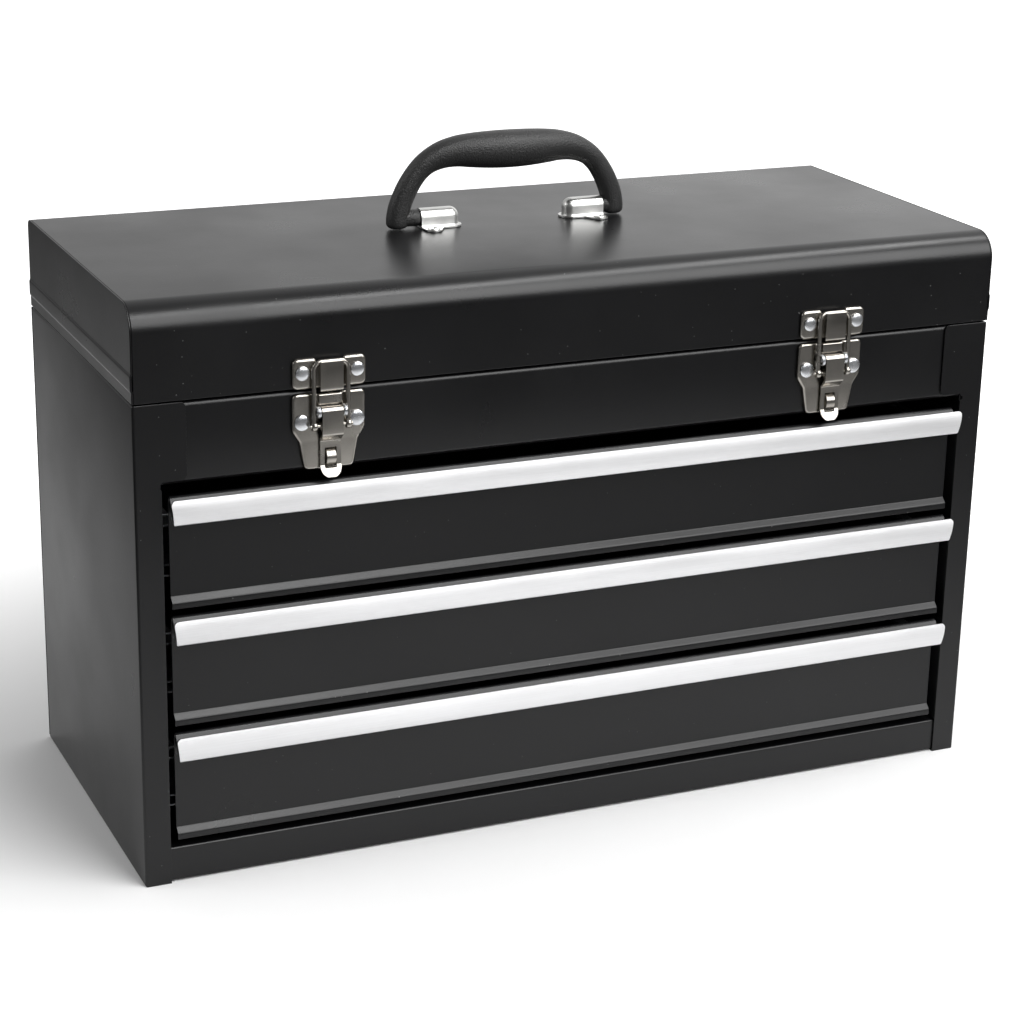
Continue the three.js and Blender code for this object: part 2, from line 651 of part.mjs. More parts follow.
const SIDES = { left: -1, right: 1 };
for (const [side, sign] of Object.entries(SIDES)) {
  const x = sign * LATCH_X;
  const shifted = (body) => body.translate([x, 0, 0]);
  place("latch_base_" + side, shifted(latchBase()), nickel);
  place("latch_keeper_" + side, shifted(latchKeeper()), nickel);
  place("latch_lever_" + side, shifted(latchLever()), nickel);
  place("latch_bail_" + side, shifted(latchBail()), nickel);
  const pinHalf = LEVER_WIDTH / 2 + GAP + 2 * SHEET;
  const pin = barX(-pinHalf, pinHalf, LEVER_PIN.y, LEVER_PIN.z, LEVER_ROD, 12);
  place("lever_pin_" + side, shifted(pin), zinc);
  for (const [end, hand] of Object.entries({ outer: sign, inner: -sign })) {
    const rivetX = x + hand * RIVET_X;
    place("base_rivet_" + side + "_" + end,
      domedHead(rivetX, BASE_FRONT - GAP, RIVET_Z.base, BASE_RIVET), nickel);
    place("keeper_rivet_" + side + "_" + end,
      domedHead(rivetX, KEEPER_FRONT - GAP, RIVET_Z.keeper, KEEPER_RIVET), nickel);
  }
}

// ---- Drawers ----
// The box of a drawer and its front: a bead along the foot, and a lip that leans out at the top.
const DRAWER_SIDE = LINER_FACE - SLIDE_SPACE - 2 * GAP;
function drawerTray(top) {
  const foot = top - DRAWER_HEIGHT;
  const middle = FRONT_FACE + SHEET / 2;
  const ridge = top + LIP_RISE - SHEET / 2;
  const face = alongX(
    strip([
      [middle - BEAD_FORWARD, foot],
      [middle - BEAD_FORWARD, foot + BEAD_HEIGHT],
      [middle, foot + BEAD_HEIGHT + BEAD_FORWARD],
      [middle, ridge - LIP_BEND],
      [middle - LIP_BEND * 0.4, ridge],
      [middle - LIP_BEND, ridge - LIP_BEND * 0.4],
      [middle - LIP_FORWARD, top - LIP_DROP],
    ]),
    -FRONT_HALF,
    FRONT_HALF,
  );
  const floor = foot + DRAWER_FLOOR;
  const walls = cut(
    box(-DRAWER_SIDE, DRAWER_SIDE, FRONT_FACE, DRAWER_REAR, floor, foot + DRAWER_BOX),
    box(-DRAWER_SIDE + SHEET, DRAWER_SIDE - SHEET, FRONT_FACE + SHEET, DRAWER_REAR - SHEET,
      floor + SHEET, top),
  );
  return join(walls, face);
}

// The pull: a strip hooked behind the lip's lower edge that rises in front of it.
function drawerPull(top) {
  const edge = { y: FRONT_FACE + SHEET / 2 - LIP_FORWARD, z: top - LIP_DROP };
  const up = new THREE.Vector2(LIP_FORWARD, LIP_DROP + 0.5).normalize();
  const behind = [edge.y + up.y * 1.4, edge.z - up.x * 1.4];
  const profile = strip(
    [
      [behind[0] + up.x * 3.5, behind[1] + up.y * 3.5],
      [behind[0] - up.x * 0.6, behind[1] - up.y * 0.6],
      [edge.y - 1.2, edge.z - 1.6],
      [edge.y - 1.9, edge.z + 1.5],
      [edge.y - 2.2, top - 5.5],
      [edge.y - 2, top - 1.5],
      [edge.y - 1.5, top + PULL_RISE],
    ],
    PULL_STEEL,
  );
  return alongX(profile, -PULL_HALF, PULL_HALF);
}

// One slide member as a channel: web position and reach from the centre, and half its height.
function slideMember(web, lip, halfHeight, z, thickness, y0, y1) {
  const section = strip(
    [
      [-lip, z + halfHeight],
      [-web, z + halfHeight],
      [-web, z - halfHeight],
      [-lip, z - halfHeight],
    ],
    thickness,
  );
  return alongY(section, y0, y1);
}

const SLIDE_STEEL = 1.2;
const CAGE_LENGTH = 52;
const CAGE_FRONT = SLIDE_FRONT + DRAWER_TRAVEL / 2;
DRAWER_NAMES.forEach((name, level) => {
  const top = FIRST_DRAWER_TOP + level * DRAWER_PITCH;
  const z = top - DRAWER_HEIGHT + SLIDE_RISE;
  const ends = [SLIDE_FRONT, SLIDE_FRONT + SLIDE_LENGTH];
  const outerWeb = LINER_FACE - GAP - SLIDE_STEEL / 2;
  const innerWeb = DRAWER_SIDE + GAP + SLIDE_STEEL / 2;
  place("drawer_tray_" + name, drawerTray(top), blackPaint);
  place("drawer_pull_" + name, drawerPull(top), brushedAluminium);
  placePair("outer_slide_" + name,
    slideMember(outerWeb, innerWeb + 3.6, 16.8, z, SLIDE_STEEL, ...ends), zinc);
  placePair("inner_slide_" + name,
    slideMember(innerWeb, outerWeb - 4.4, 11, z, SLIDE_STEEL, ...ends), zinc);
  placePair("ball_cage_" + name,
    slideMember(outerWeb - 2.2, innerWeb + 2.4, 14, z, 0.8, CAGE_FRONT, CAGE_FRONT + CAGE_LENGTH),
    cagePlastic);
});

// The origin is under the middle of the whole outline, base at z = 0.
const outlineBox = new THREE.Box3().setFromObject(chest);
chest.position.y = -(outlineBox.min.y + outlineBox.max.y) / 2;

const assembly = new THREE.Group();
assembly.add(chest);
export default assembly;
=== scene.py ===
"""A portable steel tool box: painted case, three drawers on ball slides, two draw latches and a
folding handle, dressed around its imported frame.

Shapes are drawn in millimetres about the middle of the case, then set in the frame in metres.
"""

from math import cos, pi, radians, sin, tan

import bmesh
import bpy
from mathutils import Matrix, Vector


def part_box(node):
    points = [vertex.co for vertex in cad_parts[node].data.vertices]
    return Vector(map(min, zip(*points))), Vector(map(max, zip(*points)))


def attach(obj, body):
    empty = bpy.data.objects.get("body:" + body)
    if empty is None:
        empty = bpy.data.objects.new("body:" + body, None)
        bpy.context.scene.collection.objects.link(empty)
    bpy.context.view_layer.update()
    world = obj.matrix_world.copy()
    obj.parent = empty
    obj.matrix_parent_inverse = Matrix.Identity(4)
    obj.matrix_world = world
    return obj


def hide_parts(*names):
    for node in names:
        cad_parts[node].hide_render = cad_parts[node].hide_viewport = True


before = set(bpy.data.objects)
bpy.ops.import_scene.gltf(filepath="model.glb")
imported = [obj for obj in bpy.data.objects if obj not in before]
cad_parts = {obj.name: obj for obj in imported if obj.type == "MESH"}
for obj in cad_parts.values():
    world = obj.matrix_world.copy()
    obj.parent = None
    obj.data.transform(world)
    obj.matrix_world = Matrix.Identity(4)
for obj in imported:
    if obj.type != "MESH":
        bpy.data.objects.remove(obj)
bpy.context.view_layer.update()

# ---- The frame's own sizes ----
MM = 0.001
CASE_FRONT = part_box("side_panel_left")[0].y
CASE_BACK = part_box("back_panel")[1].y
CASE_Y = (CASE_FRONT + CASE_BACK) / 2
TO_FRAME = Matrix.Translation((0, CASE_Y, 0)) @ Matrix.Scale(MM, 4)


def extent(node):
    """A CAD node's (x0, x1), (y0, y1), (z0, z1) in millimetres about the middle of the case."""
    low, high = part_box(node)
    shift = Vector((0, CASE_Y, 0))
    low, high = (low - shift) / MM, (high - shift) / MM
    return (low.x, high.x), (low.y, high.y), (low.z, high.z)


SHEET = 1.0
GAP = 0.3
HALF = extent("side_panel_left")[0][0] * -1
FRONT = (CASE_FRONT - CASE_Y) / MM
BACK = (CASE_BACK - CASE_Y) / MM
BODY_TOP = extent("side_panel_left")[2][1]
LID_FOOT, LID_TOP = extent("lid_cover")[2]
SIDES = {"left": -1, "right": 1}
LEVELS = ("bottom", "middle", "top")


# ---- Camera, lights and floor ----
def aim_camera():
    """The camera stands left of the front and a little above, with a slight lean."""
    data = bpy.data.cameras.new("camera")
    data.lens = 89.9
    data.clip_start = 0.05
    camera = bpy.data.objects.new("camera", data)
    bpy.context.scene.collection.objects.link(camera)
    azimuth, elevation, lean = radians(-23.909), radians(18.991), radians(1.194)
    turn = (
        Matrix.Rotation(azimuth, 4, "Z")
        @ Matrix.Rotation(pi / 2 - elevation, 4, "X")
        @ Matrix.Rotation(lean, 4, "Z")
    )
    stand = Vector((-0.57892, CASE_Y - 1.31331, 0.643))
    camera.matrix_world = Matrix.Translation(stand) @ turn
    bpy.context.scene.camera = camera


def area_light(name, place, target, size, watts, tint=(1, 1, 1)):
    data = bpy.data.lights.new(name, "AREA")
    data.shape = "RECTANGLE"
    data.size, data.size_y = size
    data.energy = watts
    data.color = tint
    light = bpy.data.objects.new(name, data)
    bpy.context.scene.collection.objects.link(light)
    light.location = place
    light.rotation_euler = (Vector(target) - Vector(place)).to_track_quat("-Z", "Y").to_euler()
    return light


# ---- Node trees ----
class Nodes:
    """A short way to write a node tree: values and links are given as a node is made."""

    def __init__(self, tree):
        self.tree = tree

    def make(self, kind, settings=None, **inputs):
        node = self.tree.nodes.new(kind)
        for key, value in (settings or {}).items():
            setattr(node, key, value)
        for key, value in inputs.items():
            socket = self.socket(node, key)
            if isinstance(value, bpy.types.NodeSocket):
                self.tree.links.new(value, socket)
            else:
                socket.default_value = value
        return node

    @staticmethod
    def socket(node, key):
        """An input by its name, with _ for a space, or by its number as in at_0."""
        if key.startswith("at_"):
            return node.inputs[int(key[3:])]
        return node.inputs[key.replace("_", " ")]

    def link(self, output, node, key):
        self.tree.links.new(output, self.socket(node, key))


def new_group(name, inputs, outputs):
    """A shader node group with float or vector inputs, each with its starting value."""
    group = bpy.data.node_groups.new(name, "ShaderNodeTree")
    for label, value in inputs.items():
        kind = "NodeSocketFloat" if isinstance(value, (int, float)) else "NodeSocketVector"
        group.interface.new_socket(label, in_out="INPUT", socket_type=kind).default_value = value
    for label in outputs:
        group.interface.new_socket(label, in_out="OUTPUT", socket_type="NodeSocketFloat")
    nodes = Nodes(group)
    entry = nodes.make("NodeGroupInput")
    leave = nodes.make("NodeGroupOutput")
    return group, nodes, entry.outputs, leave


def build_grain_group():
    """Fine uneven texture on the piece's own coordinates, with a pitch for each direction."""
    group, nodes, given, leave = new_group(
        "surface_grain",
        {"Per metre": (900.0, 900.0, 900.0), "Detail": 2.0, "Roughness": 0.5},
        ("Height",),
    )
    place = nodes.make("ShaderNodeTexCoord").outputs["Object"]
    scaled = nodes.make(
        "ShaderNodeVectorMath", {"operation": "MULTIPLY"}, at_0=place, at_1=given["Per metre"]
    )
    noise = nodes.make(
        "ShaderNodeTexNoise",
        Vector=scaled.outputs[0],
        Scale=1.0,
        Detail=given["Detail"],
        Roughness=given["Roughness"],
    )
    nodes.link(noise.outputs["Fac"], leave, "Height")
    return group


def build_specks_group():
    """Scattered small specks, as settled dust: a mask that is 1 on a speck."""
    group, nodes, given, leave = new_group(
        "dust_specks", {"Cells per metre": 160.0, "Radius": 0.06, "Share": 0.35}, ("Mask",)
    )
    place = nodes.make("ShaderNodeTexCoord").outputs["Object"]
    cells = nodes.make(
        "ShaderNodeTexVoronoi", Vector=place, Scale=given["Cells per metre"], Randomness=1.0
    )
    pick = nodes.make("ShaderNodeSeparateColor", Color=cells.outputs["Color"])
    chosen = nodes.make(
        "ShaderNodeMath", {"operation": "LESS_THAN"}, at_0=pick.outputs[0], at_1=given["Share"]
    )
    size = nodes.make(
        "ShaderNodeMath", {"operation": "MULTIPLY"}, at_0=pick.outputs[1], at_1=given["Radius"]
    )
    inside = nodes.make(
        "ShaderNodeMath",
        {"operation": "LESS_THAN"},
        at_0=cells.outputs["Distance"],
        at_1=size.outputs[0],
    )
    mask = nodes.make(
        "ShaderNodeMath", {"operation": "MULTIPLY"}, at_0=chosen.outputs[0], at_1=inside.outputs[0]
    )
    nodes.link(mask.outputs[0], leave, "Mask")
    return group


def build_handling_group():
    """Broad soft patches that change the gloss between two values, as handling leaves."""
    group, nodes, given, leave = new_group(
        "handling", {"Patches per metre": 14.0, "Low": 0.3, "High": 0.4}, ("Value",)
    )
    place = nodes.make("ShaderNodeTexCoord").outputs["Object"]
    noise = nodes.make(
        "ShaderNodeTexNoise", Vector=place, Scale=given["Patches per metre"], Detail=5.0
    )
    spread = nodes.make("ShaderNodeMapRange", Value=noise.outputs["Fac"])
    for key, value in {"From_Min": 0.3, "From_Max": 0.7}.items():
        nodes.socket(spread, key).default_value = value
    nodes.link(given["Low"], spread, "To_Min")
    nodes.link(given["High"], spread, "To_Max")
    nodes.link(spread.outputs[0], leave, "Value")
    return group


GRAIN = build_grain_group()
SPECKS = build_specks_group()
HANDLING = build_handling_group()


def new_material(name, **uniform):
    """A material with one Principled shader, whose even values are set on its own sockets."""
    material = bpy.data.materials.new(name)
    material.use_nodes = True
    material.node_tree.nodes.clear()
    nodes = Nodes(material.node_tree)
    shader = nodes.make("ShaderNodeBsdfPrincipled", **uniform)
    out = nodes.make("ShaderNodeOutputMaterial")
    nodes.link(shader.outputs[0], out, "Surface")
    return material, nodes, shader


def placed_group(nodes, group, **inputs):
    return nodes.make("ShaderNodeGroup", {"node_tree": group}, **inputs)


def add_bump(nodes, shader, height, depth):
    """Relief of the given depth in metres."""
    bump = nodes.make("ShaderNodeBump", Strength=1.0, Distance=depth, Height=height)
    nodes.link(bump.outputs[0], shader, "Normal")


def mixed_color(nodes, factor, low, high):
    mix = nodes.make("ShaderNodeMix", {"data_type": "RGBA"}, at_0=factor)
    mix.inputs[6].default_value = (*low, 1)
    mix.inputs[7].default_value = (*high, 1)
    return mix.outputs[2]


def paint(name, dark, gloss, dust):
    """Black powder coat: orange peel, soft patches of gloss and a few specks of dust."""
    material, nodes, shader = new_material(name, IOR=1.45)
    patches = placed_group(nodes, HANDLING, Low=gloss, High=gloss + 0.07)
    nodes.link(patches.outputs[0], shader, "Roughness")
    specks = placed_group(nodes, SPECKS, Cells_per_metre=210.0, Radius=0.07, Share=dust)
    color = mixed_color(nodes, specks.outputs[0], dark, (0.13, 0.13, 0.13))
    nodes.link(color, shader, "Base_Color")
    peel = placed_group(nodes, GRAIN, Per_metre=(850.0, 850.0, 850.0), Detail=1.5)
    add_bump(nodes, shader, peel.outputs[0], 0.000028)
    return material


def brushed(name, color, gloss, along, spread=0.0, depth=0.000006):
    """Metal with grain drawn out along one axis: 0, 1 or 2 for X, Y or Z."""
    material, nodes, shader = new_material(
        name, Metallic=1.0, Anisotropic=spread, Anisotropic_Rotation=0.25
    )
    pitch = [3200.0, 3200.0, 3200.0]
    pitch[along] = 14.0
    streaks = placed_group(nodes, GRAIN, Per_metre=pitch, Detail=4.0, Roughness=0.6)
    tone = mixed_color(nodes, streaks.outputs[0], [c * 0.86 for c in color], color)
    nodes.link(tone, shader, "Base_Color")
    patches = placed_group(nodes, HANDLING, Low=gloss, High=gloss + 0.07)
    nodes.link(patches.outputs[0], shader, "Roughness")
    add_bump(nodes, shader, streaks.outputs[0], depth)
    return material


def plated(name, color, gloss, pitch=1500.0, depth=0.000007):
    """Bright plating over pressed steel, with a fine matt grain and soft handling marks."""
    material, nodes, shader = new_material(name, Metallic=1.0)
    grain = placed_group(nodes, GRAIN, Per_metre=(pitch, pitch, pitch), Detail=4.0, Roughness=0.65)
    tone = mixed_color(nodes, grain.outputs[0], [c * 0.8 for c in color], color)
    nodes.link(tone, shader, "Base_Color")
    patches = placed_group(nodes, HANDLING, Patches_per_metre=60.0, Low=gloss, High=gloss + 0.12)
    nodes.link(patches.outputs[0], shader, "Roughness")
    add_bump(nodes, shader, grain.outputs[0], depth)
    return material


def moulded(name, color, gloss, pitch, depth):
    """Plastic with a pebbled moulded grain."""
    material, nodes, shader = new_material(name, IOR=1.48)
    grain = placed_group(nodes, GRAIN, Per_metre=(pitch, pitch, pitch), Detail=3.0, Roughness=0.55)
    worn = placed_group(nodes, HANDLING, Patches_per_metre=30.0, Low=gloss, High=gloss + 0.1)
    nodes.link(worn.outputs[0], shader, "Roughness")
    tone = mixed_color(nodes, grain.outputs[0], [c * 0.7 for c in color], [c * 1.3 for c in color])
    nodes.link(tone, shader, "Base_Color")
    add_bump(nodes, shader, grain.outputs[0], depth)
    return material


BLACK_PAINT = paint("black_powder_coat", (0.0035, 0.0035, 0.004), 0.27, 0.4)
INNER_PAINT = paint("inner_powder_coat", (0.006, 0.006, 0.0065), 0.36, 0.15)
PULL_METAL = brushed("brushed_aluminium", (0.93, 0.93, 0.94), 0.36, 0, 0.7)
# One nickel plating in two colours: darker on the latches, painted shade for the dim reflections on
# their flats; lighter on the handle brackets, painted light for their bright sleeves.
NICKEL_PAINTED_SHADE = plated("nickel_plate", (0.46, 0.437, 0.4), 0.17)
NICKEL_PAINTED_LIGHT = plated("satin_nickel", (0.86, 0.86, 0.84), 0.26)
RIVET_METAL = plated("bright_rivet_steel", (0.86, 0.88, 0.91), 0.2, 900.0, 0.00006)
ZINC = plated("zinc_plate", (0.62, 0.63, 0.66), 0.34, 900.0)
BALL_STEEL = plated("ball_steel", (0.75, 0.75, 0.76), 0.08, 400.0, 0.000001)
HANDLE_PLASTIC = moulded("handle_plastic", (0.016, 0.016, 0.016), 0.34, 1150.0, 0.0004)
CAGE_PLASTIC = moulded("cage_plastic", (0.03, 0.04, 0.06), 0.4, 2500.0, 0.00001)


# ---- Outlines ----
def arc(u, v, radius, start, end, steps):
    """Points about (u, v), angles in degrees."""
    turns = [radians(start + (end - start) * i / steps) for i in range(steps + 1)]
    return [(u + radius * cos(a), v + radius * sin(a)) for a in turns]


def fillet(points, radius, steps=5, closed=False):
    """The same line with each corner turned into an arc of the radius that fits there."""
    count = len(points)
    line = []
    for i, corner in enumerate(points):
        if not closed and i in (0, count - 1):
            line.append(corner)
            continue
        here = Vector(corner)
        before = Vector(points[i - 1]) - here
        after = Vector(points[(i + 1) % count]) - here
        half = before.angle(after) / 2
        reach = min(radius / tan(half), before.length * 0.49, after.length * 0.49)
        size = reach * tan(half)
        middle = here + (before.normalized() + after.normalized()).normalized() * (size / sin(half))
        first = here + before.normalized() * reach - middle
        last = here + after.normalized() * reach - middle
        sweep = first.angle(last)
        for k in range(steps + 1):
            share = k / steps
            weight_a = sin((1 - share) * sweep) / sin(sweep)
            weight_b = sin(share * sweep) / sin(sweep)
            line.append(tuple(middle + first * weight_a + last * weight_b))
    return line


def beside(line, distance):
    """The line moved sideways, to its left for a positive distance, with mitred corners."""
    moved = []
    for i, point in enumerate(line):
        here = Vector(point)
        before = (here - Vector(line[i - 1])).normalized() if i else None
        after = (Vector(line[i + 1]) - here).normalized() if i < len(line) - 1 else None
        along = ((before or after) + (after or before)).normalized()
        reach = distance / along.dot(after or before)
        moved.append((here.x - along.y * reach, here.y + along.x * reach))
    return moved


AXES = {
    "X": lambda u, v, w: (w, u, v),
    "Y": lambda u, v, w: (u, w, v),
    "Z": lambda u, v, w: (u, v, w),
}


# ---- Building meshes, in millimetres ----
def skin(mesh, rings, closed_ring=True, caps=True):
    """Faces between rings of points that have equal counts, and a cap at each end."""
    rows = [[mesh.verts.new(p) for p in ring] for ring in rings]
    count = len(rings[0])
    last = count if closed_ring else count - 1
    for a, b in zip(rows, rows[1:]):
        for i in range(last):
            j = (i + 1) % count
            mesh.faces.new((a[i], a[j], b[j], b[i]))
    if caps and closed_ring:
        mesh.faces.new(rows[0][::-1])
        mesh.faces.new(rows[-1])
    return rows


def sheet(mesh, line, axis, low, high, thickness=SHEET, bend=1.2):
    """Bent sheet: the middle line, with rounded bends, drawn out along an axis."""
    line = fillet(line, bend) if bend else line
    left, right = beside(line, thickness / 2), beside(line, -thickness / 2)
    place = AXES[axis]
    ends = []
    for w in (low, high):
        ends.append([[mesh.verts.new(place(u, v, w)) for u, v in side] for side in (left, right)])
    (a_left, a_right), (b_left, b_right) = ends
    for i in range(len(line) - 1):
        mesh.faces.new((a_left[i], a_left[i + 1], b_left[i + 1], b_left[i]))
        mesh.faces.new((a_right[i], b_right[i], b_right[i + 1], a_right[i + 1]))
        mesh.faces.new((a_left[i], a_right[i], a_right[i + 1], a_left[i + 1]))
        mesh.faces.new((b_left[i], b_left[i + 1], b_right[i + 1], b_right[i]))
    for i in (0, -1):
        mesh.faces.new((a_left[i], b_left[i], b_right[i], a_right[i]))


def block(mesh, outline, axis, low, high):
    """A solid of one outline, drawn out along an axis."""
    place = AXES[axis]
    skin(mesh, [[place(u, v, w) for u, v in outline] for w in (low, high)])


def round_bar(mesh, axis, u, v, radius, low, high, sides=24, dome=0.0):
    """A bar along an axis, with its ends rounded off by the given length."""
    place = AXES[axis]
    stations = [(low, radius), (high, radius)]
    if dome:
        turns = [radians(90 * k / 4) for k in range(4)]
        start = [(low + dome - dome * cos(a), radius - dome + dome * sin(a)) for a in turns]
        end = [(low + high - w, r) for w, r in reversed(start)]
        stations = [*start, (low + dome, radius), (high - dome, radius), *end]
    rings = []
    for w, r in stations:
        rings.append([place(*p, w) for p in arc(u, v, r, 0, 360 - 360 / sides, sides - 1)])
    skin(mesh, rings)


def turned(mesh, section, centre, facing, sides=28):
    """A turned shape: (radius, height) points from axis to axis, its height along facing."""
    facing = Vector(facing)
    across = facing.orthogonal().normalized()
    over = facing.cross(across)
    rings = []
    for radius, height in section:
        ring = []
        for i in range(sides):
            a = 2 * pi * i / sides
            spoke = across * cos(a) + over * sin(a)
            ring.append(tuple(Vector(centre) + facing * height + spoke * radius))
        rings.append(ring)
    return skin(mesh, rings, caps=False)


def tidy_mesh(mesh):
    """Doubles merged, and every face turned outwards."""
    bmesh.ops.remove_doubles(mesh, verts=mesh.verts, dist=0.002)
    bmesh.ops.dissolve_degenerate(mesh, dist=0.0005, edges=mesh.edges)
    bmesh.ops.recalc_face_normals(mesh, faces=mesh.faces)
    return mesh


def cad_copy(*nodes):
    """A clean copy of CAD nodes, in millimetres, its flat faces whole again."""
    mesh = bmesh.new()
    for node in nodes:
        mesh.from_mesh(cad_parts[node].data)
    mesh.transform(TO_FRAME.inverted())
    bmesh.ops.remove_doubles(mesh, verts=mesh.verts, dist=0.01)
    bmesh.ops.dissolve_limit(
        mesh, angle_limit=radians(1), verts=mesh.verts, edges=mesh.edges, delimit=set()
    )
    return mesh


def round_edges(mesh, chosen, radius, steps=4):
    """Rounds the bent or cut edges whose two ends both pass the test."""
    edges = [e for e in mesh.edges if all(chosen(v.co) for v in e.verts)]
    edges = [e for e in edges if e.is_manifold and e.calc_face_angle() > radians(30)]
    bmesh.ops.bevel(
        mesh, geom=edges, offset=radius, segments=steps, profile=0.5, affect="EDGES",
        clamp_overlap=True,
    )


def piece(name, mesh, body, material, stands_for=(), edge=0.22, steps=2, angle=35):
    """Makes a finished piece: in the frame, its edges eased, riding on its body."""
    data = bpy.data.meshes.new(name)
    tidy_mesh(mesh)
    mesh.to_mesh(data)
    mesh.free()
    data.transform(TO_FRAME)
    data.polygons.foreach_set("use_smooth", [True] * len(data.polygons))
    data.set_sharp_from_angle(angle=radians(angle))
    data.materials.append(material)
    obj = bpy.data.objects.new(name, data)
    bpy.context.scene.collection.objects.link(obj)
    if edge:
        ease = obj.modifiers.new("eased_edges", "BEVEL")
        ease.width = edge * MM
        ease.segments = steps
        ease.limit_method = "ANGLE"
        ease.angle_limit = radians(angle)
        ease.harden_normals = True
        ease.use_clamp_overlap = True
    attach(obj, body)
    if stands_for:
        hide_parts(*stands_for)
    return obj


# ---- Geometry Nodes ----
def repeat_tree():
    """A unit repeated along a straight line, then made real and given its material."""
    tree = bpy.data.node_groups.new("repeat_along_line", "GeometryNodeTree")
    face = tree.interface
    face.new_socket("Geometry", in_out="OUTPUT", socket_type="NodeSocketGeometry")
    for label, kind in (
        ("Unit", "NodeSocketObject"),
        ("Count", "NodeSocketInt"),
        ("Start", "NodeSocketVector"),
        ("Step", "NodeSocketVector"),
        ("Material", "NodeSocketMaterial"),
    ):
        face.new_socket(label, in_out="INPUT", socket_type=kind)
    nodes = Nodes(tree)
    given = nodes.make("NodeGroupInput").outputs
    unit = nodes.make("GeometryNodeObjectInfo", Object=given["Unit"])
    line = nodes.make(
        "GeometryNodeMeshLine",
        Count=given["Count"],
        Start_Location=given["Start"],
        Offset=given["Step"],
    )
    copies = nodes.make(
        "GeometryNodeInstanceOnPoints",
        Points=line.outputs[0],
        Instance=unit.outputs["Geometry"],
    )
    real = nodes.make("GeometryNodeRealizeInstances", Geometry=copies.outputs[0])
    coated = nodes.make(
        "GeometryNodeSetMaterial", Geometry=real.outputs[0], Material=given["Material"]
    )
    leave = nodes.make("NodeGroupOutput")
    nodes.link(coated.outputs[0], leave, "at_0")
    return tree


def coil_tree():
    """A coil of round wire about its own Z axis, made real and given its material."""
    tree = bpy.data.node_groups.new("wire_coil", "GeometryNodeTree")
    face = tree.interface
    face.new_socket("Geometry", in_out="OUTPUT", socket_type="NodeSocketGeometry")
    for label, kind in (
        ("Turns", "NodeSocketFloat"),
        ("Radius", "NodeSocketFloat"),
        ("Length", "NodeSocketFloat"),
        ("Wire radius", "NodeSocketFloat"),
        ("Material", "NodeSocketMaterial"),
    ):
        face.new_socket(label, in_out="INPUT", socket_type=kind)
    nodes = Nodes(tree)
    given = nodes.make("NodeGroupInput").outputs
    path = nodes.make(
        "GeometryNodeCurveSpiral",
        Resolution=20,
        Rotations=given["Turns"],
        Start_Radius=given["Radius"],
        End_Radius=given["Radius"],
        Height=given["Length"],
    )
    section = nodes.make("GeometryNodeCurvePrimitiveCircle", Resolution=10)
    nodes.link(given["Wire radius"], section, "Radius")
    wire = nodes.make(
        "GeometryNodeCurveToMesh", Curve=path.outputs[0], Profile_Curve=section.outputs[0]
    )
    wire.inputs["Fill Caps"].default_value = True
    real = nodes.make("GeometryNodeRealizeInstances", Geometry=wire.outputs[0])
    coated = nodes.make(
        "GeometryNodeSetMaterial", Geometry=real.outputs[0], Material=given["Material"]
    )
    leave = nodes.make("NodeGroupOutput")
    nodes.link(coated.outputs[0], leave, "at_0")
    return tree


REPEAT = repeat_tree()
COIL = coil_tree()


def grown(tree, **inputs):
    """The plain mesh that a Geometry Nodes tree makes from the given inputs."""
    holder = bpy.data.objects.new("holder", bpy.data.meshes.new("holder"))
    bpy.context.scene.collection.objects.link(holder)
    modifier = holder.modifiers.new("growth", "NODES")
    modifier.node_group = tree
    for item in tree.interface.items_tree:
        if item.in_out == "INPUT":
            modifier[item.identifier] = inputs[item.name.replace(" ", "_")]
    bpy.context.view_layer.update()
    graph = bpy.context.evaluated_depsgraph_get()
    data = bpy.data.meshes.new_from_object(holder.evaluated_get(graph))
    bpy.data.objects.remove(holder)
    return data


def repeated(build_unit, rows, material):
    """Rows of one small unit, each row as (count, start, step) in millimetres, as one mesh."""
    unit_mesh = bmesh.new()
    build_unit(unit_mesh)
    tidy_mesh(unit_mesh)
    data = bpy.data.meshes.new("unit")
    unit_mesh.to_mesh(data)
    unit_mesh.free()
    unit = bpy.data.objects.new("unit", data)
    whole = bmesh.new()
    for count, start, step in rows:
        grown_mesh = grown(
            REPEAT, Unit=unit, Count=count, Start=start, Step=step, Material=material
        )
        whole.from_mesh(grown_mesh)
    bpy.data.objects.remove(unit)
    return whole


# ---- The case ----
def side_panel(side, sign):
    """A folded channel whose front flange is the post with its wide head."""
    mesh = cad_copy("side_panel_" + side)
    outer = HALF - 0.01
    round_edges(mesh, lambda p: abs(p.x) > outer and (p.y < FRONT + 0.01 or p.y > BACK - 1.4), 1.3)
    inner = HALF - SHEET
    round_edges(
        mesh,
        lambda p: abs(abs(p.x) - inner) < 0.01 and (abs(p.y - FRONT - SHEET) < 0.01),
        0.4, 2,
    )
    round_edges(mesh, lambda p: abs(p.x) > outer and (p.z < 0.01 or p.z > BODY_TOP - 0.01), 0.8)
    round_edges(mesh, lambda p: p.y < FRONT + 0.01 and p.z > BODY_TOP - 0.01, 0.7)
    round_edges(mesh, lambda p: p.z < 0.01 and p.y < FRONT + 1.5 and abs(p.x) < HALF - 12, 2.2, 5)
    piece("side_shell_" + side, mesh, "cabinet", BLACK_PAINT,
          ["side_panel_" + side])


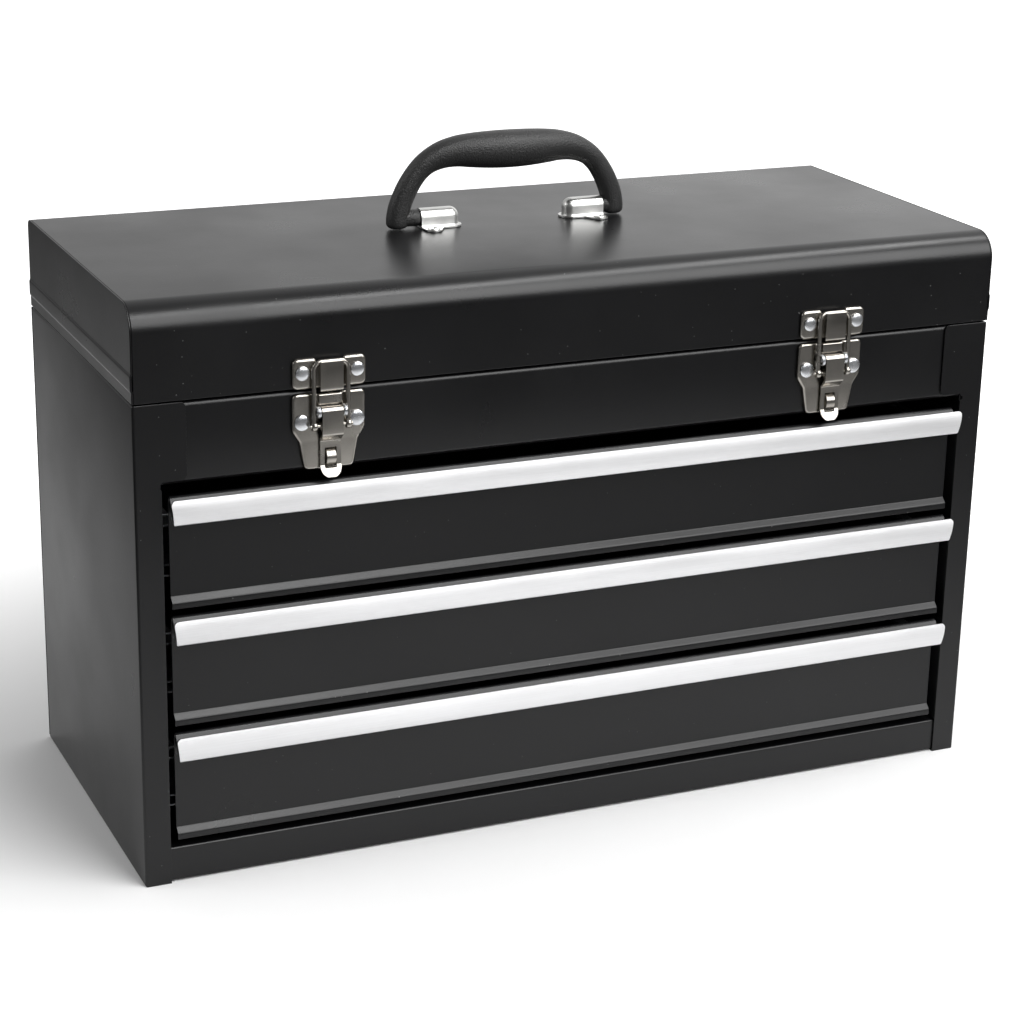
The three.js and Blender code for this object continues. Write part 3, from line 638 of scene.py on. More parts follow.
def plain_panels():
    """The case's other folded panels keep their solids' shape, with their bends rounded."""
    for node, material, bend in (
        ("back_panel", BLACK_PAINT, 0.45),
        ("floor_panel", BLACK_PAINT, 0.0),
        ("compartment_tray", INNER_PAINT, 0.0),
        ("slide_panel_left", INNER_PAINT, 0.0),
        ("slide_panel_right", INNER_PAINT, 0.0),
    ):
        mesh = cad_copy(node)
        if node == "floor_panel":
            top = extent(node)[2][1]
            front = extent(node)[1][0]
            round_edges(mesh, lambda p: p.z > top - 0.01 and p.y < front + 0.01, 1.4, 5)
        name = {"floor_panel": "floor_and_rail"}.get(node, node + "_sheet")
        piece(name, mesh, "cabinet", material, [node], edge=bend or 0.22)


def fascia():
    """The plain panel above the drawers, with its upper and lower edges folded back."""
    (_, x1), (y0, y1), (z0, z1) = extent("front_fascia")
    middle = y0 + SHEET / 2
    wing_low, wing_high = 227.5, z1 - 3
    fold_half = 240.2  # the folds end short of the slide panels
    mesh = bmesh.new()
    line = [
        (y1 - 0.1, z1 - SHEET / 2),
        (middle, z1 - SHEET / 2),
        (middle, z0 + SHEET / 2),
        (y1 - 0.1, z0 + SHEET / 2),
    ]
    sheet(mesh, line, "X", -fold_half, fold_half, bend=2.6)
    for sign in (-1, 1):
        ends = sorted((sign * (fold_half - 0.5), sign * x1))
        block(mesh, [(y0, wing_low), (y0 + SHEET, wing_low), (y0 + SHEET, wing_high),
                     (y0, wing_high)], "X", *ends)
    piece("fascia_sheet", mesh, "cabinet", BLACK_PAINT, ["front_fascia"])


# ---- Hinge ----
def hinge():
    """Two leaves along the back, with alternate knuckles wrapped round one pin."""
    (x0, x1), (y0, y1), (body_z0, body_z1) = extent("hinge_leaf_body")
    lid_z1 = extent("hinge_leaf_lid")[2][1]
    barrel, rod, neck_length = 2.5, 1.1, 6
    axis_y, axis_z = y1 - barrel, body_z1 - barrel
    knuckles = 9
    pitch = (x1 - x0) / knuckles
    length = pitch - 2 * GAP

    def knuckle(sign):
        """One wrapped knuckle: a tube section with its leaf's neck."""
        middle = barrel - SHEET / 2
        wrap = arc(axis_y, axis_z, middle, 180, 180 - sign * 320, 28)
        neck = (axis_y - middle, axis_z + sign * neck_length)

        def build(mesh):
            sheet(mesh, [neck, *wrap], "X", 0, length, bend=0)

        return build

    def weld(mesh):
        """The shallow dimple of a spot weld."""
        section = [(0, 0), (2.2, 0), (2.0, 0.2), (1.2, 0.05), (0, 0)]
        turned(mesh, section, (0, 0, 0), (0, 1, 0))

    weld_count, weld_inset = 8, 20
    weld_step = (x1 - x0 - 2 * weld_inset) / (weld_count - 1)
    for name, sign, first, low, high, body, node in (
        ("hinge_lower_leaf", -1, 0, body_z0, axis_z - barrel - GAP, "cabinet", "hinge_leaf_body"),
        ("hinge_upper_leaf", 1, 1, axis_z + barrel + GAP, lid_z1, "lid", "hinge_leaf_lid"),
    ):
        count = (knuckles - first + 1) // 2
        rows = [(count, (x0 + first * pitch + GAP, 0, 0), (2 * pitch, 0, 0))]
        mesh = repeated(knuckle(sign), rows, ZINC)
        corners = [(x0, low), (x1, low), (x1, high), (x0, high)]
        block(mesh, fillet(corners, 1.2, 3, closed=True), "Y", y0, y0 + SHEET)
        piece(name, mesh, body, ZINC, [node], edge=0.15)
        start = (x0 + weld_inset, y0 + SHEET, (low + high) / 2)
        spots = repeated(weld, [(weld_count, start, (weld_step, 0, 0))], ZINC)
        piece(name + "_welds", spots, body, ZINC, edge=0)
    mesh = bmesh.new()
    pin_x0, pin_x1 = extent("hinge_pin")[0]
    round_bar(mesh, "X", axis_y, axis_z, rod, pin_x0, pin_x1, 16, dome=0.5)
    piece("hinge_rod", mesh, "cabinet", ZINC, ["hinge_pin"], edge=0)


# ---- Lid ----
LID_ROLL = 15
LID_REAR_ROLL = 4.5


def lid_line(inset, foot):
    """The lid's section from its front foot over the top to its back foot, as (y, z)."""
    roll, rear, top = LID_ROLL - inset, LID_REAR_ROLL - inset, LID_TOP - inset
    front, back = FRONT + inset, BACK - inset
    return [
        (front, foot),
        *arc(front + roll, top - roll, roll, 180, 90, 22),
        *arc(back - rear, top - rear, rear, 90, 0, 10),
        (back, foot),
    ]


def lid_cover():
    """The wrapped cover, with its front and back edges hemmed inside."""
    x0, x1 = extent("lid_cover")[0]
    hem_height, hem_inset = 8, 15
    half_hem = SHEET * 0.4
    mesh = bmesh.new()
    sheet(mesh, lid_line(SHEET / 2, LID_FOOT), "X", x0, x1, bend=0)
    for y in (FRONT + SHEET * 1.5, BACK - SHEET * 1.5):
        hem = [
            (y - half_hem, LID_FOOT + 0.1),
            (y + half_hem, LID_FOOT + 0.1),
            (y + half_hem, LID_FOOT + hem_height),
            (y - half_hem, LID_FOOT + hem_height),
        ]
        block(mesh, hem, "X", x0 + hem_inset, x1 - hem_inset)
    piece("lid_wrap", mesh, "lid", BLACK_PAINT, ["lid_cover"], edge=0.4, steps=3)


def lid_end(side, sign):
    """A pressed end with a rim under the cover and a shallow raised band along its foot."""
    node = "lid_end_" + side
    skin_x = HALF - SHEET / 2
    swell = 0.55
    rim_depth = 14
    profile = [
        (sign * skin_x, LID_FOOT),
        (sign * skin_x, LID_FOOT + 6),
        (sign * (skin_x + swell), LID_FOOT + 7.2),
        (sign * (skin_x + swell), LID_FOOT + 14.6),
        (sign * skin_x, LID_FOOT + 15.8),
        (sign * skin_x, LID_TOP + 2),
    ]
    mesh = bmesh.new()
    sheet(mesh, profile, "Y", FRONT - 1, BACK + 1, bend=1.5)
    trim = bmesh.new()
    block(trim, lid_line(0, LID_FOOT), "X", *sorted((sign * (HALF - 3), sign * (HALF + 3))))
    pressing = cut_by(mesh, trim, "INTERSECT")
    rim_ends = sorted((sign * (HALF - rim_depth), sign * (HALF - 0.6)))
    sheet(pressing, lid_line(SHEET * 1.5 + GAP, LID_FOOT), "X", *rim_ends, bend=0)
    piece(node + "_pressing", pressing, "lid", BLACK_PAINT, [node], edge=0.4,
          steps=3)


def cut_by(mesh, tool, operation):
    """One closed mesh intersected with, cut by or joined to another. Both are used up."""
    parts = []
    for source in (mesh, tool):
        tidy_mesh(source)
        data = bpy.data.meshes.new("part")
        source.to_mesh(data)
        source.free()
        obj = bpy.data.objects.new("part", data)
        bpy.context.scene.collection.objects.link(obj)
        parts.append(obj)
    modifier = parts[0].modifiers.new("cut", "BOOLEAN")
    modifier.operation = operation
    modifier.solver = "EXACT"
    modifier.object = parts[1]
    graph = bpy.context.evaluated_depsgraph_get()
    result = bmesh.new()
    result.from_mesh(bpy.data.meshes.new_from_object(parts[0].evaluated_get(graph)))
    for obj in parts:
        bpy.data.objects.remove(obj)
    return result


# ---- Handle and brackets ----
BRACKET_X = sum(extent("handle_bracket_left")[0] + extent("handle_bracket_right")[0]) / 4
HANDLE_X = sum(extent("carry_handle")[0]) / 2
HANDLE_Y = sum(extent("handle_bracket_left")[1]) / 2
HANDLE_Z = LID_TOP + 6
BRACKET_OUT = 56.9
BRACKET_IN = 33
ARM_INSIDE = 61.2  # the inner face of a foot, from the handle's middle
COLLAR = 4.8  # radius of the short collar between a foot and its sleeve
TRUNNION = 4.0
TRUNNION_END = 41.1
OVAL_POWER = 2.3  # 2 is a plain ellipse, and more is squarer


def smooth_stations(stations, per_span=5):
    """A smooth curve through the stations, each a tuple of numbers."""
    points = []
    padded = [stations[0], *stations, stations[-1]]
    for i in range(1, len(padded) - 2):
        a, b, c, d = (Vector(p) for p in padded[i - 1 : i + 3])
        for k in range(per_span):
            t = k / per_span
            points.append(
                0.5 * (2 * b + (c - a) * t + (2 * a - 5 * b + 4 * c - d) * t * t
                       + (3 * b - a - 3 * c + d) * t ** 3)
            )
    points.append(Vector(stations[-1]))
    return points


def carry_handle():
    """A moulded bow, lofted through stations of (x, z, half width, half depth)."""
    half = [
        (67.4, 322.3, 3.6, 3.2),
        (67.4, 322.9, 5.0, 4.4),
        (67.4, 324.2, 6.0, 5.2),
        (67.4, 326.4, 6.3, 5.5),
        (67.0, 330.0, 6.3, 5.5),
        (65.6, 335.5, 6.3, 5.5),
        (61.8, 344.3, 6.2, 5.6),
        (56.0, 353.0, 6.1, 5.8),
        (49.5, 358.8, 6.5, 6.4),
        (40.9, 362.6, 7.6, 7.4),
        (31.5, 364.2, 8.7, 8.6),
        (22.4, 364.3, 9.7, 9.7),
        (11.0, 364.1, 10.45, 10.5),
    ]
    middle = [(0.0, 364.0, 10.7, 10.7)]
    stations = half + middle + [(-x, z, w, d) for x, z, w, d in reversed(half)]
    line = smooth_stations(stations, 6)
    sides = 32
    rings = []
    for i, station in enumerate(line):
        x, z, wide, deep = station[:]
        before, after = line[max(i - 1, 0)], line[min(i + 1, len(line) - 1)]
        along = Vector((after[0] - before[0], after[1] - before[1])).normalized()
        across = Vector((along.y, -along.x))
        ring = []
        for k in range(sides):
            a = 2 * pi * k / sides
            u, v = cos(a), sin(a)
            square = (abs(u) ** OVAL_POWER + abs(v) ** OVAL_POWER) ** (-1 / OVAL_POWER)
            out = across * (u * square * wide)
            ring.append((HANDLE_X + x + out.x, HANDLE_Y + v * square * deep, z + out.y))
        rings.append(ring)
    bow = bmesh.new()
    skin(bow, rings)
    for sign in (-1, 1):
        inner = HANDLE_X + sign * ARM_INSIDE
        sleeve = BRACKET_X + sign * BRACKET_OUT
        for radius, start, end in (
            (COLLAR, inner + sign * 3, sleeve + sign * GAP),
            (TRUNNION, inner + sign * 2, HANDLE_X + sign * TRUNNION_END),
        ):
            pin = bmesh.new()
            round_bar(pin, "X", HANDLE_Y, HANDLE_Z, radius, *sorted((start, end)), 28, dome=0.6)
            bow = cut_by(bow, pin, "UNION")
    piece("carry_bow", bow, "handle", HANDLE_PLASTIC, ["carry_handle"],
          edge=0.5, steps=3, angle=40)


def handle_bracket(side, sign):
    """A pressed strap: a domed sleeve that flares into a brim with two eyelets."""
    foot = LID_TOP + GAP
    brim = foot + SHEET
    outside = TRUNNION + GAP + SHEET
    dome_x = BRACKET_IN + outside
    flare = 0.9

    def section(radius):
        """The sleeve's outline over the brim, from one flare to the other."""
        turns = [radians(90 * k / 3) for k in range(4)]
        side_line = [(radius + flare * (1 - sin(a)), brim + flare * (1 - cos(a))) for a in turns]
        over = arc(0, HANDLE_Z, radius, 0, 180, 20)
        return [*side_line, *over, *[(-u, v) for u, v in reversed(side_line)]]

    def drawn_in(x, radius):
        """The same outline inside the sheet."""
        shift = 0 if x == BRACKET_OUT else (dome_x - x) / outside * SHEET
        across = max(radius - SHEET, 0.01) / max(radius, 0.01)
        upward = (outside - SHEET) / outside
        ring = []
        for u, v in section(radius):
            height = v if v <= HANDLE_Z else HANDLE_Z + (v - HANDLE_Z) * upward
            ring.append((BRACKET_X + sign * (x + shift), HANDLE_Y + u * across, height))
        return ring

    stations = [(BRACKET_OUT, outside)]
    for k in range(9):
        a = radians(90 * k / 8)
        stations.append((dome_x - outside * sin(a), max(outside * cos(a), 0.02)))
    rings = [
        [(BRACKET_X + sign * x, HANDLE_Y + u, v) for u, v in section(radius)]
        for x, radius in stations
    ]
    inner_rings = [drawn_in(x, radius) for x, radius in stations]
    mesh = bmesh.new()
    for walls in (rings, [rings[0], inner_rings[0]], inner_rings):
        skin(mesh, walls, closed_ring=False, caps=False)
    brim_half = outside + 2
    lobe, eyelet_x, eyelet_y = 4.8, 51.75, 11
    neck_x = eyelet_x - lobe - 3
    plate = [
        (-BRACKET_OUT, -brim_half),
        *arc(-eyelet_x, -eyelet_y, lobe, 200, 340, 14),
        (-neck_x, -brim_half),
        *arc(-dome_x, 0, brim_half, -90, 90, 20),
        (-neck_x, brim_half),
        *arc(-eyelet_x, eyelet_y, lobe, 20, 160, 14),
        (-BRACKET_OUT, brim_half),
    ]
    block(mesh, [(BRACKET_X - sign * u, HANDLE_Y + v) for u, v in plate], "Z", foot, brim)
    piece("bracket_strap_" + side, mesh, "lid", NICKEL_PAINTED_LIGHT,
          ["handle_bracket_" + side], edge=0.2, angle=55)

    def eyelet(unit):
        """A rolled collar, closed on itself."""
        ring = [(1.7, 0.0), (3.5, 0.0), (3.75, 0.3), (3.5, 0.75), (2.9, 0.95), (2.2, 0.8),
                (1.8, 0.3), (1.7, -0.6), (1.7, 0.0)]
        turned(unit, ring, (0, 0, 0), (0, 0, 1))

    start = (BRACKET_X + sign * eyelet_x, HANDLE_Y - eyelet_y, brim - 0.05)
    collars = repeated(eyelet, [(2, start, (0, 2 * eyelet_y, 0))], NICKEL_PAINTED_LIGHT)
    piece("eyelets_" + side, collars, "lid", NICKEL_PAINTED_LIGHT, edge=0)


# ---- Drawers ----
DRAWER_HEIGHT = 61
FACE_Y = -103.0  # middle of a drawer front's sheet
BEAD_HEIGHT = 3.2
BEAD_FORWARD = 3
LIP_BEND = 3
LIP_FORWARD = 9.2  # the lip's lower edge, in front of the face and below the drawer's top
LIP_DROP = 10.8
DRAWER_HALF = 227.2
DRAWER_FLOOR = 9  # above the drawer's foot
DRAWER_RIM = 50
RIM_RETURN = 6  # the walls' rolled rim, folded down inside


def drawer(level):
    """A folded tray with a beaded front whose lip leans out to carry the pull."""
    tray = "drawer_tray_" + level
    body = "drawer_" + level
    (x0, x1), (_, y1), (foot, _) = extent(tray)
    top = foot + DRAWER_HEIGHT
    ridge = top + 1.0
    front = [
        (FACE_Y - BEAD_FORWARD, foot),
        (FACE_Y - BEAD_FORWARD, foot + BEAD_HEIGHT),
        (FACE_Y, foot + BEAD_HEIGHT + BEAD_FORWARD),
        (FACE_Y, ridge - LIP_BEND),
        (FACE_Y - LIP_BEND * 0.4, ridge),
        (FACE_Y - LIP_BEND, ridge - LIP_BEND * 0.4),
        (FACE_Y - LIP_FORWARD, top - LIP_DROP),
    ]
    mesh = bmesh.new()
    sheet(mesh, front, "X", x0, x1, bend=1.6)
    piece("drawer_front_" + level, mesh, body, BLACK_PAINT, [tray], edge=0.3,
          steps=3)
    half_sheet = SHEET / 2
    floor = foot + DRAWER_FLOOR + half_sheet
    rim = foot + DRAWER_RIM - half_sheet
    hook = foot + DRAWER_RIM - RIM_RETURN
    wall, inside = DRAWER_HALF - half_sheet, DRAWER_HALF - 2.1
    left = [(-inside, hook), (-inside, rim), (-wall, rim), (-wall, floor)]
    mesh = bmesh.new()
    sheet(mesh, [*left, *[(-u, v) for u, v in reversed(left)]], "Y", FACE_Y + 0.6, y1 - 1.2,
          bend=0.75)
    rear = [(y1 - 2.6, hook), (y1 - 2.6, rim), (y1 - half_sheet, rim), (y1 - half_sheet, floor)]
    sheet(mesh, rear, "X", -DRAWER_HALF + 1.2, DRAWER_HALF - 1.2, bend=0.75)
    piece("drawer_box_" + level, mesh, body, INNER_PAINT)
    pull(level, top, body)


def pull(level, top, body):
    """A strip of brushed metal: hooked under the lip's edge, its face slightly full."""
    x0, x1 = extent("drawer_pull_" + level)[0]
    edge_y, edge_z = FACE_Y - LIP_FORWARD, top - LIP_DROP
    up = Vector((LIP_FORWARD, LIP_DROP + 0.5)).normalized()
    behind = Vector((edge_y + up.y * 1.4, edge_z - up.x * 1.4))
    rise, low = top + 1.1, edge_z + 0.6
    middle, half = (rise + low) / 2, (rise - low) / 2
    shares = [k / 5 for k in range(-5, 6)]
    face = [(edge_y - 2.2 + 0.75 * t * t, middle + half * t) for t in shares]
    line = [
        tuple(behind + up * 3.5),
        tuple(behind - up * 0.6),
        (edge_y - 0.9, edge_z - 1.5),
        *face,
    ]
    mesh = bmesh.new()
    sheet(mesh, line, "X", x0, x1, thickness=1.1, bend=0.9)
    foot, taper = edge_z - 2.8, 1.8
    corners = [(x0 + taper, foot), (x1 - taper, foot), (x1, rise + 0.1), (x0, rise + 0.1)]
    trim = bmesh.new()
    block(trim, fillet(corners, 2.4, 5, closed=True), "Y", FACE_Y - 22, FACE_Y + 8)
    mesh = cut_by(mesh, trim, "INTERSECT")
    piece("pull_strip_" + level, mesh, body, PULL_METAL,
          ["drawer_pull_" + level], edge=0.25, steps=3)


# ---- Ball slides ----
def slide_channel(mesh, node, web_side, thickness, bend):
    """A channel that fills its node's box, with the web on the side given as -1 or 1."""
    (x0, x1), (y0, y1), (z0, z1) = extent(node)
    web = (x0 if web_side < 0 else x1) - web_side * thickness / 2
    lip = x1 if web_side < 0 else x0
    high, low = z1 - thickness / 2, z0 + thickness / 2
    sheet(mesh, [(lip, high), (web, high), (web, low), (lip, low)], "Y", y0, y1, thickness, bend)


def slides(level):
    """Both sides' slide members, their cages and the balls between them."""
    for side, sign in SIDES.items():
        for kind, body, web_side in (
            ("outer", "cabinet", sign),
            ("inner", "drawer_" + level, -sign),
        ):
            node = f"{kind}_slide_{level}_{side}"
            mesh = bmesh.new()
            slide_channel(mesh, node, web_side, 1.2, 1.0)
            piece(f"{kind}_member_{level}_{side}", mesh, body, ZINC, [node])
        node = f"ball_cage_{level}_{side}"
        mesh = bmesh.new()
        slide_channel(mesh, node, sign, 0.8, 0.8)
        piece(f"cage_strip_{level}_{side}", mesh, "cages_" + level,
              CAGE_PLASTIC, [node], edge=0.15)
    balls(level)


def balls(level):
    """Rows of balls, above and below, that run in the channels' lips."""
    radius, count = 1.45, 8
    inset = 4  # from a cage's ends to its first and last ball
    rows = []
    for side, sign in SIDES.items():
        (x0, x1), (y0, y1), (z0, z1) = extent(f"ball_cage_{level}_{side}")
        step = (y1 - y0 - 2 * inset) / (count - 1)
        x = (x0 if sign > 0 else x1) + sign * 1.9
        for z in (z0 + 0.4, z1 - 0.4):
            rows.append((count, (x, y0 + inset, z), (0, step, 0)))

    def ball(mesh):
        bmesh.ops.create_uvsphere(mesh, u_segments=14, v_segments=10, radius=radius)

    piece("bearing_balls_" + level, repeated(ball, rows, BALL_STEEL), "cages_" + level,
          BALL_STEEL, edge=0)


# ---- Latches ----
LATCH_X = sum(extent("latch_base_right")[0]) / 2
BASE_FRONT = FRONT + 1.3 - GAP - 2.4
KEEPER_FRONT = FRONT - GAP - 2
LEVER_PIN = (FRONT - 4.6, 258.5)
BAIL_PIN = (FRONT - 4.7, 251.0)
BAIL_TOP = (FRONT - 3.9, 285.3)
WIRE = 1.3
RIVET_X = 15.0
RIVET_Z = {"base": 252.7, "keeper": 279.5}
PLATE_HALF = 20.2
BASE_FOOT = 226.1
BASE_TOP = 268.0
STAPLE = {"z": 233, "radius": 4.3, "half": 2.7}
KEEPER_FOOT = 270.6
KEEPER_TOP = 286.9
HUMP_HALF = 6.4
HUMP_FRONT = FRONT - 6.3
LEVER_HALF = 5.8
LEVER_KINK = 245.6
LEVER_DISC_Z = 228.2
LEVER_BACK = FRONT - 3  # the lower blade's middle
BAIL_HALF = 9.4
CURL = 2.4  # the lever's roll round its pin


def shifted(mesh, x):
    mesh.transform(Matrix.Translation((x, 0, 0)))
    return mesh


def mirrored_outline(right):
    """The whole outline from its right half, which runs from the bottom to the top."""
    return right + [(-u, v) for u, v in reversed(right)]


def dished_plate(mesh, outline, front, back, draw=1.6, wall=1.0):
    """A pressed plate: a face that rolls back through its edge to the surface behind."""

    def ring(inset, y):
        return [(u, y, v) for u, v in beside_closed(outline, inset)]

    turns = [radians(90 * k / 6) for k in range(7)]
    outside = [ring(draw * (1 - sin(a)), front + draw * (1 - cos(a))) for a in turns]
    skin(mesh, [*outside, ring(0, back), ring(wall, back), ring(wall, front + wall)])


def beside_closed(outline, distance):
    """A closed outline drawn in by the distance; it runs counterclockwise."""
    count = len(outline)
    moved = []
    for i, point in enumerate(outline):
        here = Vector(point)
        before = (here - Vector(outline[i - 1])).normalized()
        after = (Vector(outline[(i + 1) % count]) - here).normalized()
        along = (before + after).normalized()
        reach = distance / max(along.dot(after), 0.4)
        moved.append((here.x - along.y * reach, here.y + along.x * reach))
    return moved


def latch_base(side, x):
    """The dished base with its staple, the lever's ears, the bridge and two small springs."""
    corner = 3
    neck = [(14.2, 229.4), (16.3, 241.4), (PLATE_HALF, 247.6), (PLATE_HALF, 252)]
    outline = [
        *arc(14.2 - corner, BASE_FOOT + corner, corner, -90, 0, 6),
        *fillet(neck, 5, 6)[1:-1],
        *arc(PLATE_HALF - corner, BASE_TOP - corner, corner, 0, 90, 6),
    ]
    mesh = bmesh.new()
    dished_plate(mesh, mirrored_outline(outline), BASE_FRONT, FRONT + 1.3 - GAP)
    ear_inside = LEVER_HALF + GAP
    ear = [
        (BASE_FRONT + 0.6, LEVER_PIN[1] - 5),
        (BASE_FRONT + 0.6, LEVER_PIN[1] + 5),
        *arc(*LEVER_PIN, 2.5, 110, 250, 12),
    ]
    for sign in (-1, 1):
        block(mesh, ear, "X", *sorted((sign * ear_inside, sign * (ear_inside + 0.9))))
    bridge = [
        (BASE_FRONT + 0.4, 262.4),
        (BASE_FRONT - 2.2, 262.4),
        *arc(BASE_FRONT - 0.9, BASE_TOP - 1.3, 1.3, 180, 90, 6),
        (BASE_FRONT + 0.4, BASE_TOP),
    ]
    block(mesh, bridge, "X", -6.3, 6.3)
    staple = arc(BASE_FRONT + 0.6, STAPLE["z"], STAPLE["radius"], 90, 270, 20)
    sheet(mesh, staple, "X", -STAPLE["half"], STAPLE["half"], bend=0)
    piece("base_pressing_" + side, shifted(mesh, x), "cabinet", NICKEL_PAINTED_SHADE,
          ["latch_base_" + side], edge=0.3, steps=3)
    lever_springs(side, x)
    rod = bmesh.new()
    round_bar(rod, "X", *LEVER_PIN, 1.1, -8.1, 8.1, 18, dome=0.3)
    piece("lever_rod_" + side, shifted(rod, x), "cabinet", ZINC,
          ["lever_pin_" + side], edge=0)


def lever_springs(side, x):
    """A few turns of wire round the pin on each side of the lever."""
    springs = bmesh.new()
    for sign in (-1, 1):
        data = grown(COIL, Turns=2.5, Radius=2.95, Length=1.6 * sign, Wire_radius=0.3,
                     Material=RIVET_METAL)
        place = Matrix.Translation((sign * 6.4, *LEVER_PIN)) @ Matrix.Rotation(pi / 2, 4, "Y")
        data.transform(place)
        springs.from_mesh(data)
    piece("lever_springs_" + side, shifted(springs, x), "cabinet", RIVET_METAL,
          edge=0)


def latch_keeper(side, x):
    """The dished strike plate with its hump, whose lip rises in front of the bail."""
    half, slot, shelf = 20.3, HUMP_HALF + 0.6, KEEPER_TOP - 4
    turns = [(0.0, KEEPER_FOOT), (half, KEEPER_FOOT), (half, KEEPER_TOP), (slot, KEEPER_TOP),
             (slot, shelf)]
    right = [*fillet(turns, 3.0, 6)[:-1], (slot, shelf), (0.0, shelf)]
    outline = right + [(-u, v) for u, v in reversed(right[1:-1])]
    mesh = bmesh.new()
    dished_plate(mesh, outline, KEEPER_FRONT, FRONT - GAP, draw=1.5, wall=1.0)
    hump = [
        (FRONT - GAP - 0.6, KEEPER_FOOT - 1),
        (FRONT - GAP - 0.6, shelf - 0.5),
        (HUMP_FRONT + 3.4, 283.4),
        (HUMP_FRONT + 0.9, 283.6),
        *arc(HUMP_FRONT + 0.45, 285.5, 0.45, 0, 180, 6),
        (HUMP_FRONT, KEEPER_FOOT + 1.2),
        *arc(HUMP_FRONT + 1.4, KEEPER_FOOT + 0.4, 1.4, 180, 270, 5),
    ]
    block(mesh, hump, "X", -HUMP_HALF, HUMP_HALF)
    piece("keeper_pressing_" + side, shifted(mesh, x), "lid", NICKEL_PAINTED_SHADE,
          ["latch_keeper_" + side], edge=0.4, steps=3)


def latch_lever(side, x):
    """The lever: curled round its pin, kinked, slotted for the staple, ending in a disc."""
    ahead, behind = FRONT - 23, FRONT + 17
    upper_y = LEVER_PIN[0] - CURL
    turns = [(upper_y, 250), (upper_y, LEVER_KINK + 1), (LEVER_BACK, LEVER_KINK - 3),
             (LEVER_BACK, 229), (LEVER_BACK - 2.6, 222.6)]
    line = [*arc(*LEVER_PIN, CURL, -60, 180, 22), *fillet(turns, 1.5, 5)]
    blade = bmesh.new()
    sheet(blade, line, "X", -LEVER_HALF, LEVER_HALF, thickness=1.2, bend=0)
    disc = arc(0, LEVER_DISC_Z, LEVER_HALF, 180, 360, 28)
    trim = bmesh.new()
    block(trim, [*disc, (LEVER_HALF, 300), (-LEVER_HALF, 300)], "Y", ahead, behind)
    blade = cut_by(blade, trim, "INTERSECT")
    slot = bmesh.new()
    corners = [(-3.3, 227.4), (3.3, 227.4), (3.3, 238.7), (-3.3, 238.7)]
    block(slot, fillet(corners, 0.5, 2, closed=True), "Y", ahead, FRONT)
    blade = cut_by(blade, slot, "DIFFERENCE")
    cheek = [(upper_y, BAIL_PIN[1] + 3), (upper_y, BAIL_PIN[1] - 3),
             *arc(*BAIL_PIN, 2.1, -90, 90, 12)]
    for sign in (-1, 1):
        block(blade, cheek, "X", *sorted((sign * (LEVER_HALF - 1.1), sign * LEVER_HALF)))
    round_bar(blade, "X", *BAIL_PIN, 0.9, -11.9, 11.9, 16, dome=0.3)
    piece("lever_pressing_" + side, shifted(blade, x), "lever_" + side, NICKEL_PAINTED_SHADE,
          ["latch_lever_" + side], edge=0.3, steps=3)


def latch_bail(side, x):
    """A bow of round wire, with an eye at each end on the lever's cross pin."""
    rise = Vector((0, BAIL_TOP[0] - BAIL_PIN[0], BAIL_TOP[1] - BAIL_PIN[1]))
    foot = Vector((0, *BAIL_PIN))
    height = rise.length
    legs = [(-BAIL_HALF, 1.5), (-BAIL_HALF, height), (BAIL_HALF, height), (BAIL_HALF, 1.5)]
    flat = fillet(legs, 4.2, 10)
    upward = rise.normalized()
    outward = Vector((0, -upward.z, upward.y))
    sides = 14
    rings = []
    for i, (u, v) in enumerate(flat):
        before = Vector(flat[max(i - 1, 0)])
        after = Vector(flat[min(i + 1, len(flat) - 1)])
        along = (after - before).normalized()
        sideways = Vector((along.y, 0, 0)) - upward * along.x
        middle = foot + Vector((u, 0, 0)) + upward * v
        ring = []
        for c, s in arc(0, 0, WIRE, 0, 360 - 360 / sides, sides - 1):
            ring.append(tuple(middle + sideways * c + outward * s))
        rings.append(ring)
    mesh = bmesh.new()
    skin(mesh, rings)
    bore, rim, outside = 1.3, 2.2, 2.6
    eye = [(bore, -WIRE), (rim, -WIRE), (outside, -WIRE / 2), (outside, WIRE / 2), (rim, WIRE),
           (bore, WIRE), (bore, -WIRE)]
    for sign in (-1, 1):
        turned(mesh, eye, (sign * BAIL_HALF, *BAIL_PIN), (1, 0, 0), 22)
    piece("bail_wire_" + side, shifted(mesh, x), "bail_" + side, NICKEL_PAINTED_SHADE,
          ["latch_bail_" + side], edge=0)


def rivets():
    """Domed heads on the base plates and on the keepers, one mesh for each body."""
    for part, body, front, radius, height in (
        ("base", "cabinet", BASE_FRONT - GAP, 4.35, 1.6),
        ("keeper", "lid", KEEPER_FRONT - GAP, 3.85, 1.5),
    ):

        def head(mesh, radius=radius, height=height):
            rim = height * 0.3
            dome = [(radius * cos(a), rim + (height - rim) * sin(a))
                    for a in (radians(90 * k / 8) for k in range(8))]
            turned(mesh, [(0, 0), (radius - 0.1, 0), (radius, 0.1), *dome, (0, height)],
                   (0, 0, 0), (0, -1, 0))

        rows = [(2, (sign * LATCH_X - RIVET_X, front, RIVET_Z[part]), (2 * RIVET_X, 0, 0))
                for sign in (-1, 1)]
        nodes = [f"{part}_rivet_{side}_{end}" for side in SIDES for end in ("inner", "outer")]
        piece(part + "_rivet_heads", repeated(head, rows, RIVET_METAL), body,
              RIVET_METAL, nodes, edge=0)


# ---- Assembly ----
aim_camera()
for side, sign in SIDES.items():
    side_panel(side, sign)
    lid_end(side, sign)
    handle_bracket(side, sign)
    latch_base(side, sign * LATCH_X)
    latch_keeper(side, sign * LATCH_X)
    latch_lever(side, sign * LATCH_X)
    latch_bail(side, sign * LATCH_X)
plain_panels()
fascia()
hinge()
lid_cover()
carry_handle()
rivets()
for level in LEVELS:
    drawer(level)
    slides(level)


